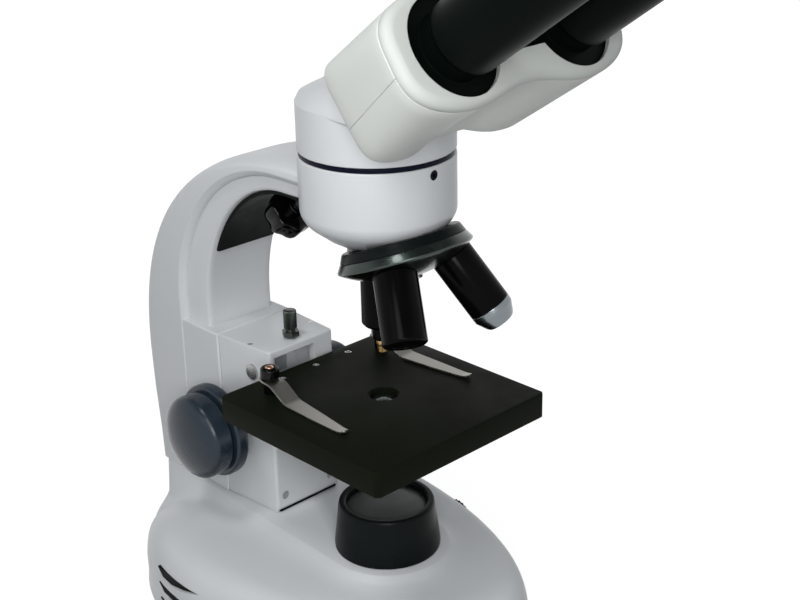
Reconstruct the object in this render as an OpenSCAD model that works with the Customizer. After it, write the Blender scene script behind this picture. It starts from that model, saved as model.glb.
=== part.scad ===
// Student compound microscope with a sliding binocular head, a triple nosepiece
// and a plain square stage. The base rests on z = 0, and the eyepieces face -Y.
// Modules are drawn about the optical axis, and on_axis() sets them in the frame.

/* [Optics] */
// Height of the stage surface above the table, with the stage lowered
stage_top = 135; // [134:1:138]
// Tilt of the nosepiece axis from the vertical
nose_tilt = 21.5; // [21:0.5:22]
// Height above the stage of the point where the objective axes meet
apex_rise = 119.5; // [119:0.5:120]
// Rise of the eyepiece tubes above the horizontal
tube_rise = 35; // [34:0.5:36]
// Half of the distance between the two eyepiece axes
half_ipd = 34; // [33:0.5:35]

/* [Base] */
// Half width of the base at its widest
base_half_w = 80; // [79:1:82]
// Distance from the optical axis to the nose of the base
base_nose = 76; // [74:1:80]
// Distance from the optical axis to the heel of the base
base_heel = 163; // [162:1:166]
// Height of the raised tongue that carries the arm and the illuminator
tongue_h = 52; // [51:1:53]
// Height of the rubber feet
foot_h = 4; // [3:0.5:5]

/* [Arm] */
// Half width of the outer band of the arm
arm_half_w = 25; // [24.5:0.5:26]
// Half width of the web round the arch
web_half_w = 21; // [20:0.5:21.5]
// Distance from the optical axis to the front wall of the arm
arm_front = 109.5; // [109:0.5:110]
// Distance from the optical axis to the back of the arm
arm_back = 165; // [164:0.5:167]
// Height of the top of the arm above the stage
arm_rise = 114.5; // [114:0.5:116]

/* [Stage] */
// Side of the square stage plate
stage_size = 112; // [110:1:113]
// Distance that the stage plate stands to the left of the optical axis
stage_left = 1; // [0:0.5:1.5]
// Thickness of the stage plate
stage_t = 12.8; // [12:0.2:13]
// Distance of the clip posts from the centre line
clip_x = 37; // [36:0.5:38]
// Distance of the clip posts behind the optical axis
clip_y = 41; // [40:0.5:42]
// Length of a clip blade from its post to its tip
clip_len = 60; // [58:1:62]

/* [Focusing] */
// Distance from the optical axis to the front of the focus block
block_front = 61; // [60.5:0.5:62]
// Height of the top of the focus block above the stage
block_rise = 9.5; // [9:0.5:11]
// Distance from the optical axis to the knob shaft
knob_y = 91; // [90.5:0.5:91.5]
// Depth of the knob shaft below the stage surface
knob_drop = 38; // [37:0.5:39]
// Radius of the coarse knobs
coarse_r = 24.8; // [24:0.1:26]
// Radius of the fine knobs
fine_r = 22.2; // [21:0.1:23]
// Module of the rack and pinion teeth
tooth_m = 0.8; // [0.8:0.1:0.8]
// Number of pinion teeth
tooth_n = 12; // [12:1:12]

/* [Head] */
// Radius of the head ring
ring_r = 36.4; // [36:0.1:37]
// Half width of the binocular body
body_half_w = 65; // [64:0.5:66]
// Radius of the eyepiece tubes
tube_r = 16.4; // [16:0.1:17]
// Length of the eyepiece tubes in front of the body
tube_len = 80; // [78:1:82]
// Radius of the round windows that the tubes slide in
window_r = 22; // [21.5:0.5:22]

/* [Hidden] */
$fn = 64;

face_y = -82.1;
face_z = stage_top + 188.2;
eye_len = tube_len + 22;
guard_r = 17.6;
// The eyepieces reach this far forward of the optical axis
front_reach = face_y - eye_len * cos(tube_rise) - guard_r * sin(tube_rise);
// The optical axis stands off the middle of the whole instrument by this much
axis_y = -(front_reach + arm_back) / 2;

module on_axis() translate([0, axis_y, 0]) children();
module lift(h) translate([0, 0, h]) children();
// Turns the drawing axis of a round piece to point along +X
module across(x, y, z) translate([x, y, z]) rotate([0, 90, 0]) children();
module both_sides() for (side = [0, 1]) mirror([side, 0, 0]) children();
function mix(a, b, t) = a + (b - a) * t;
function reversed(list) = [for (i = [len(list) - 1:-1:0]) list[i]];
// A power that keeps the sign of its base, for rounded-square outlines
function spow(a, e) = sign(a) * pow(abs(a), e);

// A closed solid through a stack of rings with equal, even numbers of points. The
// rings run anticlockwise as seen from the last ring, and their two halves face
// each other, so that each end closes with rungs between the halves.
module skin(rings) {
    n = len(rings[0]);
    top = (len(rings) - 1) * n;
    points = [for (ring = rings) each ring];
    sides = [for (j = [0:n:top - n]) for (i = [0:n - 1]) let (a = j + i, b = j + (i + 1) % n)
        each [[a, a + n, b + n], [a, b + n, b]]];
    ends = [for (i = [0:n / 2 - 2]) let (a = i, b = i + 1, c = n - 2 - i, d = n - 1 - i)
        each [[a, b, c], [a, c, d], [top + c, top + b, top + a], [top + d, top + c, top + a]]];
    polyhedron(points, concat(sides, ends), convexity = 6);
}

// ---- Base ----

// Plan outlines of the base: the pear-shaped rim, and the tongue raised on it
half_n = 36;
base_mid = 65;
tongue_r = 31;
tongue_half_w = 25.6;
tongue_corner = 140;
function rim_front(t) = [base_half_w * pow(sin(t), 0.78),
    base_mid - (base_mid + base_nose) * pow(cos(t), 1.38)];
function rim_back(t) = [base_half_w * cos(t), base_mid + (base_heel - base_mid) * sin(t)];
function rim(i) = i <= 20 ? rim_front(90 * i / 20) : rim_back(90 * (i - 20) / 16);
function tongue(i) = i <= 14 ? tongue_r * [sin(90 * i / 14), -cos(90 * i / 14)]
    : i <= 28 ? mix([tongue_r, 0], [tongue_half_w, tongue_corner], (i - 14) / 14)
    : [tongue_half_w * sqrt(max(0, cos(90 * (i - 28) / 8))),
        tongue_corner + (base_heel - 1 - tongue_corner) * sqrt(sin(90 * (i - 28) / 8))];
function mirrored(half) = concat(half, [for (i = [half_n - 1:-1:1]) [-half[i].x, half[i].y]]);
rim_line = mirrored([for (i = [0:half_n]) rim(i)]);
tongue_line = mirrored([for (i = [0:half_n]) tongue(i)]);
// The shoulders sink towards the heel, and leave the foot of the arm standing proud
heel_sag = 19;
function sag(y) = min(heel_sag, heel_sag * pow(max(0, y - 95) / 50, 1.6));
// Each entry: the share of the way from rim to tongue, the height, the share of the sag
base_profile = [[-0.02, foot_h - 1, 0], [0, foot_h + 3, 0], [0, 26, 0.84], [0.03, 32.5, 0.9],
    [0.08, 37.5, 0.95], [0.16, 41.5, 1], [0.28, 44, 1], [0.5, 45.6, 1], [0.75, 47, 0.97],
    [0.88, 48.6, 0.9], [0.95, tongue_h - 1.6, 0.4], [1, tongue_h, 0]];
function base_ring(level) = [for (i = [0:2 * half_n - 1])
    let (p = mix(rim_line[i], tongue_line[i], level[0])) [p.x, p.y, level[1] - level[2] * sag(p.y)]];
cavity_top = 22;
module cavity_outline() polygon([for (p = rim_line) [p.x * 0.9, 60 + (p.y - 60) * 0.93]]);

lamp_well_r = 18;
foot_places = [[47, -6], [-47, -6], [50, 111], [-50, 111]];
vent_x = base_half_w - 5;
vent_top = 31;
vent_pitch = 9.5;
// A leaf-shaped vent, straight along its top and full towards the heel
module vent_leaf() polygon([[95, 0], [57, 0], [64, -2], [72, -4.2], [82, -5.6], [90, -4.6]]);
module each_vent(depth) both_sides() for (row = [0:2])
    translate([vent_x, 0, vent_top - row * vent_pitch])
    rotate([90, 0, 90]) linear_extrude(depth) vent_leaf();

inlet_half_w = 13.5;
inlet_low = 8;
inlet_high = 29;
inlet_back = base_heel - 0.3;
switch_z = 40;
switch_half_w = 10;
switch_half_h = 7;
dial_x = base_half_w - 9.5;
dial_y = 25;
dial_z = 24;
dial_r = 9.5;
dial_stem_r = 3;

module base_shell() color("whitesmoke") on_axis() difference() {
    skin([for (level = base_profile) base_ring(level)]);
    linear_extrude(cavity_top) cavity_outline();
    lift(10) cylinder(h = tongue_h, r = lamp_well_r);
    each_vent(20);
    translate([-inlet_half_w, inlet_back - 18, inlet_low])
        cube([2 * inlet_half_w, 30, inlet_high - inlet_low]);
    translate([-switch_half_w, inlet_back - 12, switch_z - switch_half_h])
        cube([2 * switch_half_w, 30, 2 * switch_half_h]);
    across(dial_x, dial_y, dial_z) cylinder(h = 20, r = dial_r + 1);
    across(dial_x - 12, dial_y, dial_z) cylinder(h = 20, r = dial_stem_r + 0.05);
}
plate_t = 1.6;
screw_r = 1.45;
module bottom_plate() color("dimgray") on_axis() difference() {
    lift(foot_h) linear_extrude(plate_t) offset(delta = -0.3) cavity_outline();
    for (p = foot_places) translate([p.x, p.y, 0]) cylinder(h = 12, r = screw_r + 0.05);
}
foot_r = 9;
module feet() color("black") on_axis() for (p = foot_places) translate([p.x, p.y, 0])
    rotate_extrude() polygon([[3.4, 1.2], [3.4, 0], [foot_r - 1.5, 0], [foot_r, 1.5],
        [foot_r, foot_h], [screw_r + 0.05, foot_h], [screw_r + 0.05, 1.2]]);
module plate_screws() color("silver") on_axis() for (p = foot_places) translate([p.x, p.y, 0.5])
    rotate_extrude() polygon([[0, 0], [2, 0], [2.8, 0.7], [screw_r, 0.7], [screw_r, 9], [0, 9]]);
module vent_inserts() color("black") on_axis() each_vent(1.4);

// The illuminator stands on the front of the tongue
collar_top = tongue_h + 25;
lens_seat = collar_top - 5;
module collector_collar() color("black") on_axis() rotate_extrude($fn = 96) polygon([
    [lamp_well_r, tongue_h + 0.1], [26.6, tongue_h + 0.1], [26.7, tongue_h + 2],
    [24.2, collar_top - 1.4], [23.5, collar_top], [21, collar_top], [20.2, collar_top - 1],
    [20.2, lens_seat], [lamp_well_r, lens_seat]]);
module collector_lens() color("lightgray") on_axis() rotate_extrude($fn = 96) polygon(concat(
    [[0, lens_seat + 0.1], [20.1, lens_seat + 0.1], [20.1, lens_seat + 1.6]],
    [for (r = [16, 12, 8, 4, 0]) [r, lens_seat + 2 + 1.2 * (1 - r * r / 400)]]));
module lamp_unit() color("silver") on_axis() lift(foot_h + plate_t) rotate_extrude() polygon([
    [0, 0], [15, 0], [15, 6], [10, 6], [10, 24], [6, 24], [6, 28], [5, 32], [3, 34.5], [0, 35.5]]);

// The mains inlet is in the heel, with the switch above it and the dimmer on the right
module power_inlet() color("black") on_axis() difference() {
    translate([-inlet_half_w + 0.1, inlet_back - 17.8, inlet_low + 0.1])
        cube([2 * inlet_half_w - 0.2, 18.1, inlet_high - inlet_low - 0.2]);
    translate([-11, inlet_back - 15, inlet_low + 3]) cube([22, 20, inlet_high - inlet_low - 6]);
}
module inlet_pins() color("silver") on_axis() for (p = [[-7, 6], [7, 6], [0, 11]])
    translate([p.x - 1, inlet_back - 15, inlet_low + p.y]) cube([2, 11, 4]);
rocker_y = inlet_back - 4;
rocker_tip = 8;
rocker_pin_r = 1.2;
module switch_frame() color("black") on_axis() difference() {
    translate([-switch_half_w + 0.1, inlet_back - 11.8, switch_z - switch_half_h + 0.1])
        cube([2 * switch_half_w - 0.2, 13, 2 * switch_half_h - 0.2]);
    translate([-switch_half_w + 1.8, inlet_back - 10, switch_z - switch_half_h + 1.8])
        cube([2 * switch_half_w - 3.6, 20, 2 * switch_half_h - 3.6]);
    translate([0, rocker_y, switch_z - switch_half_h + 0.5])
        cylinder(h = 2 * switch_half_h - 1, r = rocker_pin_r + 0.05);
}
// The rocker tips on a pin that is held in the frame above and below it
module rocker_switch() color("black") on_axis() translate([0, rocker_y, switch_z]) {
    rotate([0, 0, -rocker_tip]) lift(2.2 - switch_half_h) linear_extrude(2 * switch_half_h - 4.4)
        polygon([[-7, 5.2], [-7.3, -1], [-3, -3.2], [3, -3.2], [7.3, -1], [7, 5.2], [0, 3.6]]);
    lift(0.8 - switch_half_h) cylinder(h = 2 * switch_half_h - 1.6, r = rocker_pin_r);
}
module brightness_dial() color("black") on_axis() across(dial_x, dial_y, dial_z) {
    difference() {
        lift(0.4) cylinder(h = 6.6, r = dial_r);
        for (a = [0:15:345]) rotate(a) translate([dial_r + 0.4, 0, 1]) cylinder(h = 9, r = 0.9);
        translate([-6, 0, 6.4]) cylinder(h = 9, r = 1);
    }
    lift(-9) cylinder(h = 9.5, r = dial_stem_r);
}

// ---- Arm ----

// The arm is one casting: a wide outer band with rounded back corners, and a
// narrower web round the arch, stepped in along a soft contour
arch_y = 45;
arch_z = stage_top + 20;
arch_b = 77;
step_a = 82;
step_b = 86;
spine_y = 30;
spine_z = stage_top - 15;
spine_b = arm_rise + 15;
corner_w = 15;
corner_d = 7;
head_end = 25;
arc_steps = 20;
function quarter(y, z, a, b, power = 1) = [for (i = [0:arc_steps])
    let (t = 90 - 90 * i / arc_steps) [y + a * pow(cos(t), power), z + b * pow(sin(t), power)]];
function arm_inside(grow) = concat([[head_end, arch_z + arch_b + grow]],
    quarter(arch_y, arch_z, arm_front - arch_y + grow, arch_b + grow),
    [for (z = [95, 72, tongue_h]) [arm_front + grow, z]]);
arm_step = concat([[head_end, arch_z + step_b]], quarter(arch_y, arch_z, step_a, step_b),
    [for (z = [95, 72, tongue_h]) [arch_y + step_a, z]]);
function arm_outside(d) = concat([[head_end, spine_z + spine_b - d]],
    quarter(spine_y, spine_z, arm_back - spine_y - d, spine_b - d, 0.89),
    [[arm_back - 1 - d, 95], [arm_back - 3 - d, 72], [arm_back - 4 - d, tongue_h]]);
step_turn = asin((web_half_w - arm_half_w + corner_w) / corner_w);
// Each ring of the arm is set by the angle round the back corner
function arm_ring(turn, inside, side) = [for (p = concat(inside,
    reversed(arm_outside(corner_d * (1 - cos(turn))))))
    [side * (arm_half_w - corner_w + corner_w * sin(turn)), p[0], p[1]]];
function arm_half(side) = concat([for (turn = [90, 68, step_turn + 0.4]) arm_ring(turn, arm_step, side)],
    [arm_ring(step_turn, arm_inside(2), side), arm_ring(step_turn - 5, arm_inside(0.6), side)],
    [for (turn = [36, 15, 0]) arm_ring(turn, arm_inside(0), side)]);
saddle_half_w = arm_half_w - 0.4;
saddle_front = block_front + 38.3;
block_top = stage_top + block_rise;
clamp_stem_r = 3.2;
module on_clamp() translate([0, 66, stage_top + 76.5]) rotate([50, 0, 0]) children();
module arm() color("whitesmoke") on_axis() difference() {
    union() {
        skin(concat(arm_half(-1), reversed(arm_half(1))));
        translate([-saddle_half_w, saddle_front, tongue_h])
            cube([2 * saddle_half_w, 31, block_top - tongue_h]);
    }
    cylinder(h = 400, r = ring_r + 0.1, $fn = 128);
    on_clamp() cylinder(h = 56, r = clamp_stem_r + 0.05);
}

// A black lining follows the underside of the arch and ends in a straight edge
cover_t = 2;
cover_low = stage_top + 53;
cover_half_w = web_half_w - 3;
function arch_arc(inset) = [for (t = [22:4:98])
    [arch_y + (arm_front - arch_y - inset) * cos(t), arch_z + (arch_b - inset) * sin(t)]];
module arch_cover() color("black") on_axis() difference() {
    intersection() {
        translate([-cover_half_w, 0, 0]) rotate([90, 0, 90]) linear_extrude(2 * cover_half_w)
            polygon(concat(arch_arc(0.15), reversed(arch_arc(cover_t))));
        translate([-50, 30, cover_low]) cube([100, 100, 100]);
    }
    cylinder(h = 400, r = ring_r + 0.3, $fn = 128);
    on_clamp() cylinder(h = 56, r = clamp_stem_r + 1);
}

// The lobed knob under the arch drives a screw through the ring, to lock the head
clamp_r = 8.6;
module lobed_outline(r, lobes) {
    circle(r = r);
    for (i = [0:lobes - 1]) rotate(360 / lobes * i) translate([r - 0.5, 0]) circle(r = r / 4);
}
module head_clamp_knob() color("black") on_axis() on_clamp() {
    intersection() {
        lift(-6.5) linear_extrude(13) lobed_outline(clamp_r, 7);
        lift(8) sphere(r = 15);
    }
    lift(6.4) cylinder(h = 5, r = 5);
    lift(11) cylinder(h = 44, r = clamp_stem_r);
}

// ---- Focus block ----

block_low = tongue_h + 0.2;
block_back = saddle_front - 0.1;
block_half_w = 21.3;
block_back_half_w = 23.8;
shaft_z = stage_top - knob_drop;
shaft_r = 4;
way_low = tongue_h + 8;
way_high = block_top - 3.8;
// The window for the stage bracket is off centre, beside the gib of the slideway
way_left = -18;
way_right = 8.5;
way_turn = block_front + 4;
window_low = stage_top - 41;
way_back = block_front + 22.5;
way_wing = 14;
block_screw_r = 2.1;
block_screw_places = [[15.5, tongue_h + 9], [-15.5, tongue_h + 9]];
cap_y = block_front + 13.3;
cap_z = stage_top - 4.5;
cap_r = 4.2;
plug_r = 1.5;
stop_y = block_front + 8;
stop_r = 2.5;
module on_block_front(p) translate([p.x, block_front, p.y]) rotate([90, 0, 0]) children();
module focus_block() color("whitesmoke") on_axis() difference() {
    lift(block_low) linear_extrude(block_top - block_low) polygon([
        [1 - block_half_w, block_front], [block_half_w - 1, block_front],
        [block_half_w, block_front + 1], [block_back_half_w, block_back],
        [-block_back_half_w, block_back], [-block_half_w, block_front + 1]]);
    translate([way_left - 1.2, way_turn, way_low])
        cube([way_wing - way_left + 1.2, way_back - way_turn, way_high - way_low]);
    translate([way_left, block_front - 1, window_low])
        cube([way_right - way_left, way_turn - block_front + 2, way_high - window_low]);
    translate([-8, way_back - 1, way_low]) cube([16, 11, way_high - way_low]);
    across(-40, knob_y, shaft_z) cylinder(h = 80, r = shaft_r + 0.05);
    across(-8, knob_y, shaft_z) cylinder(h = 16, r = 7.5);
    translate([0, stop_y, block_top - 10]) cylinder(h = 20, r = stop_r + 0.05);
    translate([-30, block_front - 1, block_low - 1]) cube([60, 2, 3.4]);
    for (p = block_screw_places) on_block_front(p) lift(-3.8) cylinder(h = 8, r = block_screw_r + 0.1);
    both_sides() across(15.2, cap_y, cap_z) cylinder(h = 10, r = cap_r + 0.05);
    both_sides() translate([20, cap_y + 3, block_top - 4]) cylinder(h = 6, r = plug_r + 0.05);
}
module block_screws() color("dimgray") on_axis() {
    for (p = block_screw_places) on_block_front(p) lift(-3.7) cylinder(h = 3.3, r = block_screw_r);
    both_sides() across(19.6, cap_y, cap_z) cylinder(h = 3.4, r = cap_r);
    both_sides() translate([20, cap_y + 3, block_top - 3.9]) cylinder(h = 3.7, r = plug_r);
}
// A knurled screw through the top of the block stops the stage short of the objectives
stop_head_r = 3.4;
module stop_screw() color("gray") on_axis() translate([0, stop_y, block_top]) {
    lift(-3.2) cylinder(h = 9, r = stop_r);
    lift(1) cylinder(h = 2.6, r = 4.6, $fn = 6);
    lift(5) difference() {
        cylinder(h = 10, r = stop_head_r);
        for (a = [0:24:336]) rotate(a) translate([stop_head_r + 0.25, 0, 1]) cylinder(h = 8, r = 0.5);
    }
}

// Rack and pinion with involute flanks
pressure = 25;
pitch_r = tooth_m * tooth_n / 2;
tip_r = pitch_r + 0.85 * tooth_m;
root_r = pitch_r - 1.1 * tooth_m;
rolling_r = pitch_r * cos(pressure);
backlash = 0.14;
function involute(a) = tan(a) * 180 / PI - a;
function roll_turn(r) = r <= rolling_r ? 0 : acos(rolling_r / r);
base_tooth = (90 / tooth_n) - backlash / pitch_r * 90 / PI + involute(pressure);
function tooth_turn(r) = base_tooth - involute(roll_turn(r));
function polar(r, a) = [r * cos(a), r * sin(a)];
flank_radii = [for (i = [0:4]) mix(rolling_r, tip_r, i / 4)];
module pinion_outline() polygon([for (k = [0:tooth_n - 1]) let (mid = 360 * k / tooth_n) each concat(
    [polar(root_r, mid - base_tooth)],
    [for (r = flank_radii) polar(r, mid - tooth_turn(r))],
    [for (r = reversed(flank_radii)) polar(r, mid + tooth_turn(r))],
    [polar(root_r, mid + base_tooth)])]);
slide_back = way_back - 0.2;
slide_low = way_low + 6;
slide_high = way_high - 21;
pitch_y = knob_y - pitch_r;
rack_pitch = PI * tooth_m;
rack_low = slide_low + 2;
rack_teeth = floor((slide_high - 1.5 - rack_low) / rack_pitch);
rack_first = shaft_z - rack_pitch * (0.5 + floor((shaft_z - rack_low) / rack_pitch - 0.5));
function rack_tooth(z) = let (root = 1.1 * tooth_m, tip = 0.85 * tooth_m,
    half = rack_pitch / 4 - backlash / 2)
    [[pitch_y - root, z - half - root * tan(pressure)], [pitch_y + tip, z - half + tip * tan(pressure)],
    [pitch_y + tip, z + half - tip * tan(pressure)], [pitch_y - root, z + half + root * tan(pressure)]];
module rack() color("silver") on_axis() translate([-4, 0, 0]) rotate([90, 0, 90]) linear_extrude(8)
    polygon(concat([[slide_back + 0.02, rack_low - 1.5]],
        [[pitch_y - 1.1 * tooth_m, rack_low - 1.5]],
        [for (i = [0:rack_teeth - 1]) each rack_tooth(rack_first + i * rack_pitch)],
        [[pitch_y - 1.1 * tooth_m, slide_high - 0.5], [slide_back + 0.02, slide_high - 0.5]]));

// ---- Stage ----

stage_low = stage_top - stage_t;
stage_back = stage_size / 2;
neck_high = slide_high;
neck_low = slide_high - 20;
clear = 0.12;
module stage_slide() color("whitesmoke") on_axis() {
    lift(slide_low) linear_extrude(slide_high - slide_low) polygon([
        [way_left - 1.2 + clear, way_turn + clear], [way_wing - clear, way_turn + clear],
        [way_wing - clear, slide_back], [way_left - 1.2 + clear, slide_back]]);
    lift(neck_low) linear_extrude(neck_high - neck_low) polygon([
        [way_left + clear, stage_back], [way_right - clear, stage_back],
        [way_right - clear, way_turn + 1], [way_left + clear, way_turn + 1]]);
    translate([-26, 24, stage_low - 8]) cube([52, 35, 7.95]);
}
aperture_r = 6.8;
seat_depth = 2.2;
screw_y = 50;
screw_pitch = 22;
stage_screw_r = 2;
post_r = 2;
module each_stage_screw() for (i = [-1:1]) translate([i * screw_pitch, screw_y, 0]) children();
module stage_plate() color("black") on_axis() difference() {
    translate([-stage_left, 0.3, stage_low + stage_t / 2]) intersection() {
        cube([stage_size, stage_size, stage_t], center = true);
        rotate(45) cube([stage_size * sqrt(2) - 2.8, stage_size * sqrt(2) - 2.8, stage_t], center = true);
    }
    lift(stage_low - 1) cylinder(h = stage_t + 2, r = aperture_r);
    lift(stage_top - 0.6) cylinder(h = 1, r = aperture_r + 0.8);
    lift(stage_low - 1) cylinder(h = 1 + stage_t - 5.4, r = aperture_r + 2);
    each_stage_screw() lift(stage_top - 6) cylinder(h = 7, r = stage_screw_r + 0.05);
    both_sides() translate([clip_x, clip_y, stage_top - 9]) cylinder(h = 10, r = post_r + 0.05);
}
module stage_screws() color("silver") on_axis() each_stage_screw() lift(stage_top - 5.9) difference() {
    cylinder(h = 5.6, r = stage_screw_r);
    lift(4.6) cylinder(h = 2, r = 1, $fn = 6);
}
mount_low = stage_low - 8;
iris_pin_y = -13;
iris_pin_r = 2;
module condenser_mount() color("black") on_axis() difference() {
    rotate_extrude() polygon([
        [8.4, mount_low], [17, mount_low], [17, stage_low - 0.05], [aperture_r + 2.1, stage_low - 0.05],
        [aperture_r + 2.1, stage_low - 2], [8.4, stage_low - 2]]);
    translate([0, iris_pin_y, mount_low - 1]) cylinder(h = 6.4, r = iris_pin_r + 0.05);
}
module condenser_lens() color("lightcyan") on_axis() rotate_extrude() polygon(concat(
    [[0, stage_low - 1.8], [aperture_r + 1.9, stage_low - 1.8], [aperture_r + 1.9, stage_top - 5.6],
    [aperture_r - 0.2, stage_top - 5.6], [aperture_r - 0.2, stage_top - seat_depth - 1.4]],
    [for (r = [5, 3.4, 1.7, 0]) [r, stage_top - seat_depth - 0.035 * r * r]]));
// A disc of five holes turns on a pin under the stage, to set the beam
iris_r = 21;
iris_z = mount_low - 0.3;
iris_t = 1.6;
module disc_diaphragm() color("black") on_axis() translate([0, iris_pin_y, iris_z - iris_t]) {
    difference() {
        cylinder(h = iris_t, r = iris_r);
        for (i = [0:4]) rotate(90 + 72 * i) translate([-iris_pin_y, 0, -1]) cylinder(h = 5, r = 5.5 - i);
        for (a = [0:12:348]) rotate(a) translate([iris_r + 0.3, 0, -1]) cylinder(h = 4, r = 0.8);
    }
    lift(iris_t - 0.01) cylinder(h = 5, r = iris_pin_r);
    lift(-1) cylinder(h = 1.1, r = 3.5);
}

// Spring clips turn on posts in the stage
clip_toe = 4.2;
knob_low = 8;
// Each entry: distance along the blade, height of its underside, half width
clip_path = [[-5, 6.4, 4.4], [5, 6.4, 4.8], [7, 6.1, 4.8], [17, 0.9, 4.7], [19, 0.5, 4.6],
    [40, 0.35, 3.6], [clip_len - 6, 0.3, 2.6], [clip_len - 3, 0.5, 2.3], [clip_len, 1.6, 1.6]];
clip_t = 0.9;
module clip_place(side) on_axis() translate([side * clip_x, clip_y, stage_top])
    rotate([0, 0, side * clip_toe]) children();
module clip_blade(side) color("silver") clip_place(side) difference() {
    skin([for (p = clip_path) [[-p[2], -p[0], p[1]], [-p[2], -p[0], p[1] + clip_t],
        [p[2], -p[0], p[1] + clip_t], [p[2], -p[0], p[1]]]]);
    lift(4) cylinder(h = 6, r = post_r + 0.02);
}
module clip_knob(side) color("black") clip_place(side) rotate_extrude() polygon([
    [0, -8.5], [post_r, -8.5], [post_r, 0.3], [3.4, 0.3], [3.4, 6.3], [post_r, 6.3],
    [post_r, 7.4], [3.2, 7.4], [3.2, knob_low], [4.6, knob_low], [4.9, knob_low + 1],
    [4.6, 13], [3.9, 13.8], [2.3, 13.9], [2.3, 14.4], [0, 14.5]]);
module clip_blade_left() clip_blade(-1);
module clip_blade_right() clip_blade(1);
module clip_knob_left() clip_knob(-1);
module clip_knob_right() clip_knob(1);

// ---- Focus knobs ----

coarse_in = 29;
coarse_out = 40;
fine_in = coarse_out + 0.5;
fine_out = 49;
dome_out = 57;
fine_shaft_r = 2.2;
shaft_end = coarse_out - 2;
module pinion_shaft() color("silver") on_axis() across(0, knob_y, shaft_z) difference() {
    union() {
        lift(-shaft_end) cylinder(h = 2 * shaft_end, r = shaft_r);
        lift(-4) linear_extrude(8) pinion_outline();
    }
    lift(-60) cylinder(h = 120, r = fine_shaft_r + 0.05);
}
module coarse_knob() rotate_extrude($fn = 96) polygon([
    [shaft_r, coarse_in], [12, coarse_in], [13.5, coarse_in + 2.4], [coarse_r - 3, coarse_in + 3],
    [coarse_r - 0.4, coarse_in + 4.4], [coarse_r, coarse_in + 6], [coarse_r, coarse_out - 1],
    [coarse_r - 1, coarse_out], [shaft_r, coarse_out]]);
module fine_knob() rotate_extrude($fn = 96) polygon(concat(
    [[fine_shaft_r, fine_in], [fine_r - 1.2, fine_in], [fine_r, fine_in + 1.2]],
    [for (a = [0:10:90]) [(fine_r - 1) * cos(a) + 1 * cos(a), fine_out + (dome_out - fine_out) * sin(a)]],
    [[0, fine_in + 3], [fine_shaft_r, fine_in + 3]]));
module coarse_knob_left() color("darkslategray") on_axis() across(0, knob_y, shaft_z)
    mirror([0, 0, 1]) coarse_knob();
module coarse_knob_right() color("darkslategray") on_axis() across(0, knob_y, shaft_z) coarse_knob();
module fine_shaft() color("silver") on_axis() across(0, knob_y, shaft_z)
    lift(-fine_in - 2.9) cylinder(h = 2 * (fine_in + 2.9), r = fine_shaft_r);
module fine_knob_left() color("darkslategray") on_axis() across(0, knob_y, shaft_z)
    mirror([0, 0, 1]) fine_knob();
module fine_knob_right() color("darkslategray") on_axis() across(0, knob_y, shaft_z) fine_knob();

// ---- Nosepiece ----

ring_low = stage_top + 96;
ring_high = stage_top + 122.4;
seam_high = stage_top + 124.6;
spigot_r = 22;
spigot_low = stage_top + 113;
set_screw_z = stage_top + 118.3;
set_screw_r = 2.3;
apex_z = stage_top + apex_rise;
mount_top = 38.3;
turret_top = 42.6;
mount_r = 28.5;
module on_turret() on_axis() translate([0, 0, apex_z]) rotate([-nose_tilt, 0, 0]) children();
module on_objective(k) on_turret() rotate(120 * k) rotate([nose_tilt, 0, 0]) children();
module head_ring() color("whitesmoke") difference() {
    on_axis() rotate_extrude($fn = 128) polygon([[ring_r, ring_high], [ring_r, ring_low],
        [ring_r - 0.4, ring_low - 1.6], [35.4, ring_low - 3], [34.3, ring_low - 4.8],
        [32.8, ring_low - 6.4], [24.7, ring_low - 12.6], [16.6, ring_low - 17.2],
        [15.2, ring_low - 18.2], [15.2, ring_low - 28], [9, ring_low - 28], [9, spigot_low],
        [spigot_r + 0.05, spigot_low], [spigot_r + 0.05, ring_high]]);
    on_turret() lift(-mount_top - 30) cylinder(h = 30, r = mount_r + 12);
    on_axis() translate([0, -20, set_screw_z]) rotate([90, 0, 0])
        cylinder(h = 20, r = set_screw_r + 0.05);
    on_axis() on_clamp() cylinder(h = 57, r = clamp_stem_r + 0.05);
}
module seam_ring() color("navy") on_axis() rotate_extrude($fn = 128) polygon([
    [spigot_r + 0.05, ring_high + 0.05], [ring_r - 0.5, ring_high + 0.05],
    [ring_r - 0.5, seam_high], [spigot_r + 0.05, seam_high]]);
module head_set_screw() color("midnightblue") on_axis() translate([0, -spigot_r - 0.3, set_screw_z])
    rotate([90, 0, 0]) difference() {
        cylinder(h = ring_r - spigot_r - 0.5, r = set_screw_r);
        lift(8) cylinder(h = 20, r = 1.2, $fn = 6);
    }
// The fixed half of the nosepiece carries the turret on a centre bolt
bolt_r = 3;
bore_r = 8;
mount_t = turret_top - 0.1 - mount_top;
module nosepiece_mount() color("black") difference() {
    on_turret() lift(0.1 - turret_top) rotate_extrude($fn = 96) polygon([[0, 0], [mount_r, 0],
        [mount_r, mount_t - 0.6], [mount_r - 0.6, mount_t], [0, mount_t]]);
    on_axis() lift(apex_z - 60) cylinder(h = 60, r = bore_r);
    on_turret() lift(-60) cylinder(h = 60, r = bolt_r + 0.05);
}
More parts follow.
